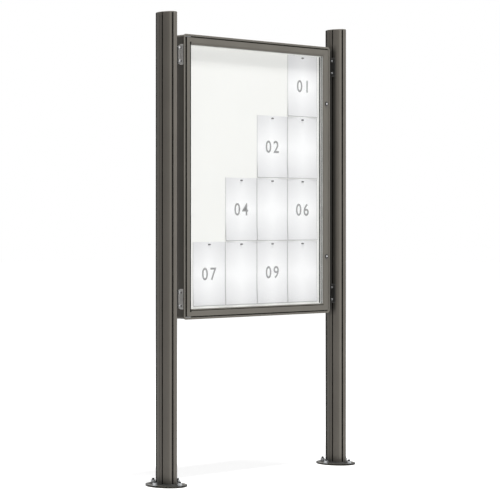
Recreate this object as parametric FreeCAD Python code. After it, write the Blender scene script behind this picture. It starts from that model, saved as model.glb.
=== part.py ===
import FreeCAD, Part

import math
import os

from FreeCAD import Vector

# Lockable notice board on two posts, in millimetres.
# Origin: on the ground, midway between the posts. +X runs along the board to the right
# as a reader sees it, +Y points to the back, +Z points up.

# Posts: the gap is from case to post, the rise is from the case's top to the post's
POST_GAP = 45.0
POST_RISE = 94.0
POST_WIDTH = 68.0
POST_DEPTH = 123.0
POST_WALL = 3.0
CAP_HEIGHT = 16.0
CAP_ROUND = 4.0
CAP_PLUG_WIDTH = 38.0
CAP_PLUG_DEPTH = 82.0
CAP_PLUG_LENGTH = 18.0

# Lengthwise slots of the post profile
SLOT_OPENING = 6.4
SLOT_LIP = 3.0
SLOT_CAVITY_WIDTH = 11.4
SLOT_CAVITY_DEPTH = 5.5
SLOT_WALL = 2.0
SIDE_SLOT_Y = -9.0
FRONT_SLOT_X = 13.3
SIDE_LINE_Y = 9.0
SIDE_LINE_WIDTH = 1.4
SIDE_LINE_DEPTH = 1.4

# Base plates and their anchors
PLATE_WIDTH = 170.0
PLATE_DEPTH = 212.0
PLATE_THICKNESS = 8.0
PLATE_EDGE = 1.5
WELD_LEG = 5.0
ANCHOR_SPACING_X = 142.0
ANCHOR_SPACING_Y = 176.0
ANCHOR_DIAMETER = 12.0
ANCHOR_HOLE = 14.0
ANCHOR_WASHER_DIAMETER = 24.0
ANCHOR_WASHER_THICKNESS = 2.5
ANCHOR_NUT_ACROSS = 19.0
ANCHOR_NUT_HEIGHT = 10.0
ANCHOR_PROJECTION = 7.5
ANCHOR_TIP_CHAMFER = 1.0
NUT_CHAMFER_ANGLE = 30.0

# Case
CASE_WIDTH = 990.0
CASE_HEIGHT = 1305.0
CASE_BOTTOM = 751.0
CASE_DEPTH = 66.0
CASE_WALL = 2.5
RIM_WIDTH = 10.0
RIM_THICKNESS = 5.0
RIM_OVERHANG = 3.0
RIM_CORNER = 15.0
RIM_ROUND = 1.6
LEDGE_DEPTH = 22.0
LEDGE_THICKNESS = 1.6
LINER_INSET = 47.5
SHELF_WIDTH = 12.5
REAR_FLANGE_WIDTH = 14.0
REAR_COVER_THICKNESS = 1.5
REAR_COVER_RECESS = 0.5
REAR_SCREW_DIAMETER = 4.0
REAR_SCREW_HEAD = 8.0
REAR_SCREW_HEAD_HEIGHT = 2.2
REAR_SCREW_HEAD_ROUND = 1.2
REAR_SCREWS_ACROSS = 3
REAR_SCREWS_UP = 4
CORNER_BRACKET_ARM = 50.0
CORNER_BRACKET_THICKNESS = 3.0
CORNER_BRACKET_WIDTH = 22.0
CORNER_BRACKET_SETBACK = 4.0

# Display panel, a shallow pan with turned-up sides, and what it shows
PANEL_DEPTH = 22.5
PANEL_SHEET = 1.2
PANEL_CORNER = 3.0
PANEL_FRONT_GAP = 0.5
EDGE_SEAL_WIDTH = 7.0
EDGE_SEAL_THICKNESS = 1.0
SHEET_WIDTH = 210.0
SHEET_HEIGHT = 297.0
SHEET_THICKNESS = 0.25
SHEET_GAP_ACROSS = 1.0
SHEET_GAP_DOWN = 3.0
SHEET_COLUMNS = 4
SHEET_ROWS = 4
SHEET_OFFSET_X = 3.5
SHEET_TOP_GAP = 2.0
MAGNET_WIDTH = 14.0
MAGNET_HEIGHT = 7.0
MAGNET_THICKNESS = 4.0
MAGNET_DOME = 1.0
MAGNET_DROP = 12.5

# Door leaf
DOOR_GAP = 4.0
DOOR_THICKNESS = 14.0
STILE_BOX = 23.0
STILE_WALL = 2.0
GLAZING_LIP = 10.0
LIP_THICKNESS = 4.2
LIP_EDGE = 1.2
GLASS_THICKNESS = 4.0
GLASS_EDGE_ROOM = 1.0
GLAZING_TAPE = 0.5
TAPE_SETBACK = 0.5
BEAD_CLEARANCE = 0.2
BEAD_CHAMFER = 2.0
CONNECTOR_ARM = 74.0
SEAL_WIDTH = 6.0
SEAL_BULB = 5.0

# Hinge
HINGE_EDGE_DISTANCE = 8.0
HINGE_PIN_DIAMETER = 5.0
HINGE_PIN_DEPTH = 7.8
HINGE_PIN_ENGAGEMENT = 14.0
HINGE_RUNNING_CLEARANCE = 0.05
BUSH_DIAMETER = 7.6
BUSH_LENGTH = 16.0
BUSH_FLANGE_DIAMETER = 11.0
BUSH_FLANGE_THICKNESS = 1.7
HINGE_BLOCK_LENGTH = 34.0
HINGE_BLOCK_DEPTH = 10.0

# Locks
LOCK_EDGE_DISTANCE = 12.0
LOCK_SPACING = 748.0
LOCK_ROSE_DIAMETER = 21.0
LOCK_ROSE_HEIGHT = 3.0
LOCK_ROSE_ROUND = 1.2
LOCK_BODY_DIAMETER = 16.0
LOCK_PLUG_DIAMETER = 11.0
LOCK_PLUG_PROUD = 0.6
LOCK_NUT_ACROSS = 19.0
LOCK_NUT_THICKNESS = 3.0
KEYWAY_WIDTH = 1.6
KEYWAY_HEIGHT = 7.0
KEYWAY_DEPTH = 4.0
CAM_LENGTH = 18.5
CAM_WIDTH = 13.0
CAM_THICKNESS = 2.2
CAM_SCREW_DIAMETER = 8.0
CAM_SCREW_HEIGHT = 1.8
KEEPER_WIDTH = 34.0
KEEPER_SHEET = 1.2
KEEPER_TONGUE = 5.8
KEEPER_THICKNESS = 2.4

# Mounting brackets
BRACKET_HEIGHT = 93.0
BRACKET_INSET = 94.0
BRACKET_SHEET = 3.0
BRACKET_FRONT_SETBACK = 6.0
BRACKET_DEPTH = 31.0
BRACKET_TAPER_LENGTH = 12.0
BRACKET_TAPER_HEIGHT = 6.0
BRACKET_EDGE = 1.2
BRACKET_BOLT_SPACING = 60.0
CASE_BOLT_Y = -4.2
BOLT_DIAMETER = 6.0
BOLT_HEAD_DIAMETER = 10.0
BOLT_HEAD_HEIGHT = 5.0
BOLT_HEAD_ROUND = 1.2
BOLT_SOCKET = 5.0
BOLT_SOCKET_DEPTH = 2.5
NUT_ACROSS = 10.0
NUT_HEIGHT = 5.0
SLOT_NUT_LENGTH = 20.0
SLOT_NUT_THICKNESS = 4.0
BOLT_TIP = 1.0

# Clearances, the run of a cutting tool past what it cuts, and the tolerance for picking edges
FIT = 0.3
SLIP = 0.1
OVERCUT = 1.0
NEAR = 0.01

# Derived places
FRONT = -CASE_DEPTH / 2.0
CASE_TOP = CASE_BOTTOM + CASE_HEIGHT
CASE_MIDDLE = CASE_BOTTOM + CASE_HEIGHT / 2.0
POST_SPACING = CASE_WIDTH + 2.0 * POST_GAP + POST_WIDTH
POST_HEIGHT = CASE_TOP + POST_RISE
SIDE_INSET = RIM_OVERHANG + CASE_WALL
LEAF_INSET = RIM_WIDTH + DOOR_GAP
GLASS_LINE = LEAF_INSET + STILE_BOX + GLAZING_LIP
HINGE_INSET = LEAF_INSET + HINGE_EDGE_DISTANCE
LOCK_INSET = LEAF_INSET + LOCK_EDGE_DISTANCE
POST_BOTTOM = PLATE_THICKNESS
POST_TOP = POST_HEIGHT - CAP_HEIGHT
REAR_COVER_FRONT = CASE_DEPTH - REAR_COVER_RECESS - REAR_COVER_THICKNESS
LEFT = -1
RIGHT = 1


def depth(distance):
    """Y of a plane that lies a distance behind the front of the rim."""
    return FRONT + distance


def box(x0, x1, y0, y1, z0, z1):
    """A block between two corners."""
    return Part.makeBox(x1 - x0, y1 - y0, z1 - z0, Vector(x0, y0, z0))


def cylinder(radius, start, end):
    """A round bar from one point to another."""
    axis = end.sub(start)
    return Part.makeCylinder(radius, axis.Length, start, axis)


def prism(points, along):
    """A closed outline of points, extruded."""
    return Part.Face(Part.makePolygon(points + [points[0]])).extrude(along)


def hexagon(across, start, height, axis):
    """A hexagonal bar that starts at a point and runs along an axis."""
    corner = across / math.sqrt(3.0)
    points = []
    for step in range(6):
        angle = math.radians(60.0 * step)
        points.append(Vector(corner * math.cos(angle), corner * math.sin(angle), 0.0))
    bar = prism(points, Vector(0.0, 0.0, height))
    bar.Placement = FreeCAD.Placement(start, FreeCAD.Rotation(Vector(0, 0, 1), axis))
    return bar


def oval_face(width, length, z=0.0, x=0.0):
    """A flat ellipse, width in X and length in Y."""
    centre = Vector(x, 0.0, z)
    if length > width:
        curve = Part.Ellipse(centre + Vector(0, length / 2.0, 0), centre + Vector(-width / 2.0, 0, 0), centre)
    else:
        curve = Part.Ellipse(centre + Vector(width / 2.0, 0, 0), centre + Vector(0, length / 2.0, 0), centre)
    return Part.Face(Part.Wire(curve.toShape()))


def rounded_panel(inset, front, back, radius, width=CASE_WIDTH, height=CASE_HEIGHT):
    """A slab inside the case outline, inset all round, with rounded upright corners."""
    x1 = width / 2.0 - inset
    z1 = height / 2.0 - inset
    slab = box(-x1, x1, depth(front), depth(back), CASE_MIDDLE - z1, CASE_MIDDLE + z1)
    if radius <= 0.0:
        return slab
    corners = [edge for edge in slab.Edges if edge.BoundBox.YLength > back - front - NEAR]
    return slab.makeFillet(radius, corners)


def band(outer, inner, front, back, radius):
    """A ring between two insets from the case outline."""
    inner_radius = max(radius - (inner - outer), 0.0)
    tall = rounded_panel(outer, front, back, radius)
    return tall.cut(rounded_panel(inner, front - OVERCUT, back + OVERCUT, inner_radius))


def side_wedge(side):
    """The space that one side of a mitred frame fills, bounded by 45 degree planes."""
    reach = CASE_WIDTH / 2.0
    x1 = CASE_WIDTH / 2.0 + OVERCUT
    z1 = CASE_HEIGHT / 2.0 + OVERCUT
    corner = {
        "top": [(-x1, z1), (x1, z1), (x1 - reach, z1 - reach), (reach - x1, z1 - reach)],
        "bottom": [(-x1, -z1), (x1, -z1), (x1 - reach, reach - z1), (reach - x1, reach - z1)],
        "left": [(-x1, -z1), (-x1, z1), (reach - x1, z1 - reach), (reach - x1, reach - z1)],
        "right": [(x1, -z1), (x1, z1), (x1 - reach, z1 - reach), (x1 - reach, reach - z1)],
    }[side]
    points = [Vector(x, depth(-OVERCUT), CASE_MIDDLE + z) for x, z in corner]
    return prism(points, Vector(0.0, CASE_DEPTH + 2.0 * OVERCUT, 0.0))


def frame_member(outline, side, start_inset):
    """One mitred length of a profile, whose outline is (inset, depth) pairs."""
    across = CASE_HEIGHT if side in ("top", "bottom") else CASE_WIDTH
    along = CASE_WIDTH if side in ("top", "bottom") else CASE_HEIGHT
    half = along / 2.0 - start_inset
    points = [Vector(-half, depth(v), u - across / 2.0) for u, v in outline]
    bar = prism(points, Vector(2.0 * half, 0.0, 0.0))
    turn = {"bottom": 0.0, "left": 90.0, "top": 180.0, "right": 270.0}[side]
    bar.rotate(Vector(0, 0, 0), Vector(0, 1, 0), turn)
    bar.translate(Vector(0.0, 0.0, CASE_MIDDLE))
    return bar.common(side_wedge(side))


def save(shape, name):
    """Write one node and report it."""
    shape.exportStep("parts/" + name + ".step")
    print(name, len(shape.Solids), "solids, valid:", shape.isValid())


def group(shapes):
    """Several separate solids in one node."""
    return Part.makeCompound(shapes)


def mirrored(shape):
    """The same shape on the other side of the board."""
    return shape.mirror(Vector(0, 0, 0), Vector(1, 0, 0))


# Posts


def surface_point(angle):
    """A point of the post's outline and its outward normal, for an ellipse angle in radians."""
    a = POST_WIDTH / 2.0
    b = POST_DEPTH / 2.0
    point = Vector(a * math.cos(angle), b * math.sin(angle), 0.0)
    normal = Vector(math.cos(angle) / a, math.sin(angle) / b, 0.0)
    return point, normal.normalize()


def side_places(y):
    """Points of the outline on both flanks at one Y, each with its straight sideways direction."""
    angle = math.asin(y / (POST_DEPTH / 2.0))
    x = POST_WIDTH / 2.0 * math.cos(angle)
    return [(Vector(x, y, 0.0), Vector(1, 0, 0)), (Vector(-x, y, 0.0), Vector(-1, 0, 0))]


def slot_places():
    """Mouth and outward direction of the two side slots and the four front and back slots."""
    front = math.acos(FRONT_SLOT_X / (POST_WIDTH / 2.0))
    slanted = [surface_point(angle) for angle in (front, -front, math.pi - front, front - math.pi)]
    return side_places(SIDE_SLOT_Y) + slanted


def slot_block(place, outer, inner, width):
    """A flat block across the outline: outer and inner are depths below the surface."""
    point, normal = place
    across = Vector(-normal.y, normal.x, 0.0) * (width / 2.0)
    top = point - normal * outer
    low = point - normal * inner
    return Part.Face(Part.makePolygon([top + across, low + across, low - across, top - across, top + across]))


def post_outline():
    """The post's outer outline with its slot mouths and side lines, as a face."""
    face = oval_face(POST_WIDTH, POST_DEPTH)
    for place in slot_places():
        face = face.cut(slot_block(place, -POST_WALL, SLOT_LIP, SLOT_OPENING))
    for place in side_places(SIDE_LINE_Y):
        face = face.cut(slot_block(place, -POST_WALL, SIDE_LINE_DEPTH, SIDE_LINE_WIDTH))
    return face


def post_section():
    """The whole hollow section: wall, slot channels and their cavities."""
    hollow = oval_face(POST_WIDTH - 2.0 * POST_WALL, POST_DEPTH - 2.0 * POST_WALL)
    channel_width = SLOT_CAVITY_WIDTH + 2.0 * SLOT_WALL
    channel_floor = SLOT_LIP + SLOT_CAVITY_DEPTH + SLOT_WALL
    for place in slot_places():
        hollow = hollow.cut(slot_block(place, -POST_WALL, channel_floor, channel_width))
    section = post_outline().cut(hollow)
    for place in slot_places():
        cavity = slot_block(place, SLOT_LIP, SLOT_LIP + SLOT_CAVITY_DEPTH, SLOT_CAVITY_WIDTH)
        section = section.cut(cavity)
    return section


def post(side):
    section = post_section()
    section.translate(Vector(side * POST_SPACING / 2.0, 0.0, POST_BOTTOM))
    return section.extrude(Vector(0.0, 0.0, POST_TOP - POST_BOTTOM))


def post_cap(side):
    """Oval lid with a rounded top edge, the post's slot mouths and a plug that goes inside."""
    lid = oval_face(POST_WIDTH, POST_DEPTH).extrude(Vector(0, 0, CAP_HEIGHT))
    rim = [edge for edge in lid.Edges if edge.BoundBox.ZMin > CAP_HEIGHT - NEAR]
    lid = lid.makeFillet(CAP_ROUND, rim)
    for place in slot_places():
        mouth = slot_block(place, -POST_WALL, SLOT_LIP, SLOT_OPENING)
        lid = lid.cut(mouth.extrude(Vector(0, 0, CAP_HEIGHT)))
    plug = oval_face(CAP_PLUG_WIDTH, CAP_PLUG_DEPTH, -CAP_PLUG_LENGTH)
    lid = lid.fuse(plug.extrude(Vector(0, 0, CAP_PLUG_LENGTH)))
    lid.translate(Vector(side * POST_SPACING / 2.0, 0.0, POST_TOP))
    return lid


# Base plates and anchors


def anchor_places(side):
    x = side * POST_SPACING / 2.0
    places = []
    for offset in (-ANCHOR_SPACING_X / 2.0, ANCHOR_SPACING_X / 2.0):
        places.append((x + offset, 0.0))
    for offset in (-ANCHOR_SPACING_Y / 2.0, ANCHOR_SPACING_Y / 2.0):
        places.append((x, offset))
    return places


def base_plate(side):
    """Oval plate with a weld bead round the post's foot and four anchor holes."""
    x = side * POST_SPACING / 2.0
    plate = oval_face(PLATE_WIDTH, PLATE_DEPTH, 0.0, x).extrude(Vector(0, 0, PLATE_THICKNESS))
    rim = [edge for edge in plate.Edges if edge.BoundBox.ZMin > PLATE_THICKNESS - NEAR]
    plate = plate.makeFillet(PLATE_EDGE, rim)
    low = oval_face(POST_WIDTH + 2 * WELD_LEG, POST_DEPTH + 2 * WELD_LEG, PLATE_THICKNESS, x)
    high = oval_face(POST_WIDTH + 2 * SLIP, POST_DEPTH + 2 * SLIP, PLATE_THICKNESS + WELD_LEG, x)
    bead = Part.makeLoft([low.OuterWire, high.OuterWire], True, True)
    inside = oval_face(POST_WIDTH + SLIP, POST_DEPTH + SLIP, PLATE_THICKNESS, x)
    bead = bead.cut(inside.extrude(Vector(0, 0, 2 * WELD_LEG)))
    plate = plate.fuse(bead)
    for ax, ay in anchor_places(side):
        top = Vector(ax, ay, PLATE_THICKNESS + OVERCUT)
        hole = cylinder(ANCHOR_HOLE / 2.0, Vector(ax, ay, -OVERCUT), top)
        plate = plate.cut(hole)
    return plate


def anchor_stack():
    """Studs, washers and nuts of both feet, as three lists."""
    studs = []
    washers = []
    nuts = []
    washer_top = PLATE_THICKNESS + ANCHOR_WASHER_THICKNESS
    nut_top = washer_top + ANCHOR_NUT_HEIGHT
    radius = ANCHOR_DIAMETER / 2.0
    spread = ANCHOR_NUT_HEIGHT / math.tan(math.radians(NUT_CHAMFER_ANGLE))
    for side in (LEFT, RIGHT):
        for x, y in anchor_places(side):
            stud = cylinder(radius, Vector(x, y, 0.0), Vector(x, y, nut_top + ANCHOR_PROJECTION))
            tip = [edge for edge in stud.Edges if edge.BoundBox.ZMin > nut_top]
            studs.append(stud.makeChamfer(ANCHOR_TIP_CHAMFER, tip))
            ring = cylinder(ANCHOR_WASHER_DIAMETER / 2.0, Vector(x, y, PLATE_THICKNESS), Vector(x, y, washer_top))
            bore = cylinder(radius + SLIP, Vector(x, y, 0.0), Vector(x, y, nut_top + OVERCUT))
            washers.append(ring.cut(bore))
            nut = hexagon(ANCHOR_NUT_ACROSS, Vector(x, y, washer_top), ANCHOR_NUT_HEIGHT, Vector(0, 0, 1))
            cone = Part.makeCone(ANCHOR_NUT_ACROSS / 2.0 + spread, ANCHOR_NUT_ACROSS / 2.0, ANCHOR_NUT_HEIGHT,
                                 Vector(x, y, washer_top))
            nuts.append(nut.common(cone).cut(bore))
    return studs, washers, nuts


# Case


def case_ring():
    """The whole case profile round the board: rim, side wall, ledge, inner wall and shelves."""
    rim = band(0.0, RIM_WIDTH, 0.0, RIM_THICKNESS, RIM_CORNER)
    front_edges = [edge for edge in rim.Edges if edge.BoundBox.YMax < depth(NEAR)]
    rim = rim.makeFillet(RIM_ROUND, front_edges)
    wall_corner = RIM_CORNER - RIM_OVERHANG
    inner_corner = RIM_CORNER - SIDE_INSET
    ledge_back = LEDGE_DEPTH + LEDGE_THICKNESS
    shelf_front = PANEL_DEPTH + PANEL_SHEET + SLIP
    shelf_back = shelf_front + LEDGE_THICKNESS
    flange_front = REAR_COVER_FRONT - LEDGE_THICKNESS
    wall = band(RIM_OVERHANG, SIDE_INSET, RIM_THICKNESS, CASE_DEPTH, wall_corner)
    ledge = band(SIDE_INSET, LINER_INSET, LEDGE_DEPTH, ledge_back, inner_corner)
    liner_wall = band(LINER_INSET - LEDGE_THICKNESS, LINER_INSET, ledge_back, shelf_back, 0.0)
    shelf = band(LINER_INSET, LINER_INSET + SHELF_WIDTH, shelf_front, shelf_back, 0.0)
    flange = band(SIDE_INSET, SIDE_INSET + REAR_FLANGE_WIDTH, flange_front, REAR_COVER_FRONT, inner_corner)
    ring = rim
    for piece in (wall, ledge, liner_wall, shelf, flange):
        ring = ring.fuse(piece)
    return ring


def rear_screw_places():
    """X and Z of the rear cover's screws, on the rear flange all round."""
    inset = SIDE_INSET + REAR_FLANGE_WIDTH / 2.0
    x1 = CASE_WIDTH / 2.0 - inset
    z1 = CASE_HEIGHT / 2.0 - inset
    places = []
    for step in range(REAR_SCREWS_ACROSS):
        x = -x1 + (step + 0.5) * 2.0 * x1 / REAR_SCREWS_ACROSS
        places.append((x, CASE_MIDDLE - z1))
        places.append((x, CASE_MIDDLE + z1))
    for step in range(REAR_SCREWS_UP):
        z = CASE_MIDDLE - z1 + (step + 0.5) * 2.0 * z1 / REAR_SCREWS_UP
        places.append((-x1, z))
        places.append((x1, z))
    return places


def rear_screw_bores():
    front = depth(REAR_COVER_FRONT - LEDGE_THICKNESS - OVERCUT)
    back = depth(CASE_DEPTH + OVERCUT)
    radius = REAR_SCREW_DIAMETER / 2.0
    return group([cylinder(radius, Vector(x, front, z), Vector(x, back, z)) for x, z in rear_screw_places()])


def case_sides():
    """The case profile split at its mitres, with the holes for its bolts and screws."""
    ring = case_ring().cut(rear_screw_bores())
    holes = []
    for side, z in bracket_places():
        for dz in (-BRACKET_BOLT_SPACING / 2.0, BRACKET_BOLT_SPACING / 2.0):
            outer = Vector(side * CASE_WIDTH / 2.0, CASE_BOLT_Y, z + dz)
            inner = Vector(side * (CASE_WIDTH / 2.0 - SIDE_INSET - OVERCUT), CASE_BOLT_Y, z + dz)
            holes.append(cylinder(BOLT_DIAMETER / 2.0 + SLIP, outer, inner))
    ring = ring.cut(group(holes))
    return {side: ring.common(side_wedge(side)) for side in ("top", "bottom", "left", "right")}


def corner_brackets():
    """Four angles that hold the case's mitres, inside the hollow of the profile."""
    front = LEDGE_DEPTH + LEDGE_THICKNESS + CORNER_BRACKET_SETBACK
    back = front + CORNER_BRACKET_WIDTH
    outer = SIDE_INSET + SLIP
    ring = band(outer, outer + CORNER_BRACKET_THICKNESS, front, back, RIM_CORNER - outer)
    angles = []
    for sx in (-1, 1):
        for sz in (-1, 1):
            x0 = sx * (CASE_WIDTH / 2.0 - outer - CORNER_BRACKET_ARM)
            z0 = CASE_MIDDLE + sz * (CASE_HEIGHT / 2.0 - outer - CORNER_BRACKET_ARM)
            x1 = x0 + sx * 2.0 * CORNER_BRACKET_ARM
            z1 = z0 + sz * 2.0 * CORNER_BRACKET_ARM
            corner = box(min(x0, x1), max(x0, x1), depth(front), depth(back), min(z0, z1), max(z0, z1))
            angles.append(ring.common(corner))
    return group(angles)


def rear_cover():
    """Flat sheet that closes the back, inside the case wall."""
    inset = SIDE_INSET + SLIP
    sheet = rounded_panel(inset, REAR_COVER_FRONT, REAR_COVER_FRONT + REAR_COVER_THICKNESS, RIM_CORNER - inset)
    return sheet.cut(rear_screw_bores())


def rear_cover_screws():
    front = depth(REAR_COVER_FRONT - LEDGE_THICKNESS)
    seat = depth(REAR_COVER_FRONT + REAR_COVER_THICKNESS)
    screws = []
    for x, z in rear_screw_places():
        shank = cylinder(REAR_SCREW_DIAMETER / 2.0, Vector(x, front, z), Vector(x, seat, z))
        back = Vector(x, seat + REAR_SCREW_HEAD_HEIGHT, z)
        head = cylinder(REAR_SCREW_HEAD / 2.0, Vector(x, seat, z), back)
        rim = [edge for edge in head.Edges if edge.BoundBox.YMin > back.y - NEAR]
        screws.append(head.makeFillet(REAR_SCREW_HEAD_ROUND, rim).fuse(shank))
    return group(screws)


def display_panel():
    """Pale steel pan: its floor carries the sheets and its sides reach to the door."""
    outer = LINER_INSET + SLIP
    front = DOOR_THICKNESS + PANEL_FRONT_GAP
    pan = rounded_panel(outer, front, PANEL_DEPTH + PANEL_SHEET, PANEL_CORNER)
    hollow = rounded_panel(outer + PANEL_SHEET, front - OVERCUT, PANEL_DEPTH, PANEL_CORNER - PANEL_SHEET)
    return pan.cut(hollow)


def panel_edge_seals():
    """Flat rubber strips in the upright corners between the panel's floor and its sides."""
    x1 = CASE_WIDTH / 2.0 - LINER_INSET - SLIP - PANEL_SHEET
    x0 = x1 - EDGE_SEAL_WIDTH
    half = CASE_HEIGHT / 2.0 - LINER_INSET - SLIP - PANEL_CORNER
    strip = box(x0, x1, depth(PANEL_DEPTH - EDGE_SEAL_THICKNESS), depth(PANEL_DEPTH),
                CASE_MIDDLE - half, CASE_MIDDLE + half)
    return group([strip, mirrored(strip)])


def sheet_places():
    """Lower left corners of the sheets, in a staircase that grows by one column a row."""
    grid_width = SHEET_COLUMNS * SHEET_WIDTH + (SHEET_COLUMNS - 1) * SHEET_GAP_ACROSS
    left = SHEET_OFFSET_X - grid_width / 2.0
    top = CASE_TOP - LINER_INSET - PANEL_SHEET - SHEET_TOP_GAP
    places = []
    for row in range(SHEET_ROWS):
        for column in range(SHEET_COLUMNS - 1 - row, SHEET_COLUMNS):
            x = left + column * (SHEET_WIDTH + SHEET_GAP_ACROSS)
            z = top - SHEET_HEIGHT - row * (SHEET_HEIGHT + SHEET_GAP_DOWN)
            places.append((x, z))
    return places


def paper_sheets():
    front = depth(PANEL_DEPTH - SHEET_THICKNESS)
    back = depth(PANEL_DEPTH)
    return group([box(x, x + SHEET_WIDTH, front, back, z, z + SHEET_HEIGHT) for x, z in sheet_places()])


def magnets():
    """Oblong magnets with rounded ends and edges, one at the top of each sheet."""
    seat = depth(PANEL_DEPTH - SHEET_THICKNESS)
    front = seat - MAGNET_THICKNESS
    bars = []
    for x, z in sheet_places():
        x0 = x + (SHEET_WIDTH - MAGNET_WIDTH) / 2.0
        z1 = z + SHEET_HEIGHT - MAGNET_DROP
        bar = box(x0, x0 + MAGNET_WIDTH, front, seat, z1 - MAGNET_HEIGHT / 2.0, z1 + MAGNET_HEIGHT / 2.0)
        ends = [edge for edge in bar.Edges if edge.BoundBox.YLength > MAGNET_THICKNESS - NEAR]
        bar = bar.makeFillet(MAGNET_HEIGHT / 2.0 - NEAR, ends)
        rim = [edge for edge in bar.Edges if edge.BoundBox.YMax < front + NEAR]
        bars.append(bar.makeFillet(MAGNET_DOME, rim))
    return group(bars)


def door_seal():
    """Rubber ring on the ledge, with a rounded nose towards the door's back."""
    nose = DOOR_THICKNESS + FIT
    outer = GLASS_LINE - GLAZING_LIP / 2.0 - SEAL_WIDTH / 2.0
    ring = band(outer, outer + SEAL_WIDTH, nose, LEDGE_DEPTH, 0.0)
    front = [edge for edge in ring.Edges if edge.BoundBox.YMax < depth(nose) + NEAR]
    return ring.makeFillet(SEAL_BULB / 2.0, front)


# Door leaf


def leaf_outline():
    """Outline of the door profile: a box and the bevelled lip in front of the glass."""
    box_end = LEAF_INSET + STILE_BOX
    return [(LEAF_INSET, 0.0), (box_end, 0.0), (GLASS_LINE, LIP_THICKNESS - LIP_EDGE),
            (GLASS_LINE, LIP_THICKNESS), (box_end, LIP_THICKNESS), (box_end, DOOR_THICKNESS),
            (LEAF_INSET, DOOR_THICKNESS)]


def chamber_outline(slack=0.0):
    """Hollow of the door profile, drawn in by a slack for what slides into it."""
    u0 = LEAF_INSET + STILE_WALL + slack
    u1 = LEAF_INSET + STILE_BOX - STILE_WALL - slack
    v0 = STILE_WALL + slack
    v1 = DOOR_THICKNESS - STILE_WALL - slack
    return [(u0, v0), (u1, v0), (u1, v1), (u0, v1)]


def hinge_axis():
    return Vector(HINGE_INSET - CASE_WIDTH / 2.0, depth(HINGE_PIN_DEPTH), 0.0)


def along_hinge(end, inset):
    """Point of the hinge axis at an inset from the case's lower (-1) or upper (1) edge."""
    point = hinge_axis()
    point.z = CASE_MIDDLE + end * (CASE_HEIGHT / 2.0 - inset)
    return point


def bush_seats():
    """Bores for the hinge bushes in the leaf's corners."""
    bores = []
    for end in (-1, 1):
        start = along_hinge(end, LEAF_INSET - OVERCUT)
        stop = along_hinge(end, LEAF_INSET + BUSH_LENGTH)
        bores.append(cylinder(BUSH_DIAMETER / 2.0, start, stop))
    return group(bores)


def lock_axes():
    """Names and front centres of the two locks."""
    x = CASE_WIDTH / 2.0 - LOCK_INSET
    return [("upper", Vector(x, FRONT, CASE_MIDDLE + LOCK_SPACING / 2.0)),
            ("lower", Vector(x, FRONT, CASE_MIDDLE - LOCK_SPACING / 2.0))]


def lock_bores():
    bores = []
    for name, centre in lock_axes():
        start = centre - Vector(0, OVERCUT, 0)
        stop = centre + Vector(0, DOOR_THICKNESS + OVERCUT, 0)
        bores.append(cylinder(LOCK_BODY_DIAMETER / 2.0, start, stop))
    return group(bores)


def door_sides():
    """The four mitred lengths of the door profile."""
    sides = {}
    bores = bush_seats()
    locks = lock_bores()
    for side in ("top", "bottom", "left", "right"):
        bar = frame_member(leaf_outline(), side, LEAF_INSET)
        bar = bar.cut(frame_member(chamber_outline(), side, LEAF_INSET + STILE_WALL))
        if side == "right":
            bar = bar.cut(locks)
        else:
            bar = bar.cut(bores)
        sides[side] = bar
    return sides


def door_connectors():
    """Corner angles inside the door profile; the hinge side ones hold the bushes."""
    ring = None
    for side in ("top", "bottom", "left", "right"):
        bar = frame_member(chamber_outline(SLIP), side, LEAF_INSET + STILE_WALL + SLIP)
        ring = bar if ring is None else ring.fuse(bar)
    ring = ring.removeSplitter().cut(bush_seats())
    edge = LEAF_INSET + STILE_WALL + SLIP
    pieces = []
    for sx in (-1, 1):
        for sz in (-1, 1):
            x_end = sx * (CASE_WIDTH / 2.0 - edge - CONNECTOR_ARM)
            z_end = CASE_MIDDLE + sz * (CASE_HEIGHT / 2.0 - edge - CONNECTOR_ARM)
            x_far = x_end + sx * 2.0 * CONNECTOR_ARM
            z_far = z_end + sz * 2.0 * CONNECTOR_ARM
            corner = box(min(x_end, x_far), max(x_end, x_far), depth(0.0), depth(DOOR_THICKNESS),
                         min(z_end, z_far), max(z_end, z_far))
            pieces.append(ring.common(corner))
    return group(pieces)


def glass_inset():
    return LEAF_INSET + STILE_BOX + GLASS_EDGE_ROOM


def glass_front():
    return LIP_THICKNESS + GLAZING_TAPE


def glass_pane():
    return rounded_panel(glass_inset(), glass_front(), glass_front() + GLASS_THICKNESS, 0.0)


def glazing_tape(front):
    """Thin seal on one face of the glass."""
    return band(glass_inset(), GLASS_LINE - TAPE_SETBACK, front, front + GLAZING_TAPE, 0.0)


def glazing_beads():
    """Four mitred beads that clip in behind the glass, with a thin lip towards the opening."""
    front = glass_front() + GLASS_THICKNESS + GLAZING_TAPE
    u0 = LEAF_INSET + STILE_BOX
    u1 = GLASS_LINE - BEAD_CLEARANCE
    outline = [(u0, front), (u1, front), (u1, DOOR_THICKNESS - BEAD_CHAMFER),
               (u1 - BEAD_CHAMFER, DOOR_THICKNESS), (u0, DOOR_THICKNESS)]
    return group([frame_member(outline, side, u0) for side in ("top", "bottom", "left", "right")])


# Hinges


def hinge_block(end):
    """Block behind the rim that holds one hinge pin."""
    x0 = -CASE_WIDTH / 2.0 + RIM_CORNER
    z0 = CASE_MIDDLE + end * (CASE_HEIGHT / 2.0 - SIDE_INSET)
    z1 = CASE_MIDDLE + end * (CASE_HEIGHT / 2.0 - LEAF_INSET + BUSH_FLANGE_THICKNESS + FIT)
    block = box(x0, x0 + HINGE_BLOCK_LENGTH, depth(RIM_THICKNESS), depth(RIM_THICKNESS + HINGE_BLOCK_DEPTH),
                min(z0, z1), max(z0, z1))
    start = along_hinge(end, SIDE_INSET - OVERCUT)
    return block.cut(cylinder(HINGE_PIN_DIAMETER / 2.0, start, along_hinge(end, LEAF_INSET)))


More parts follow.
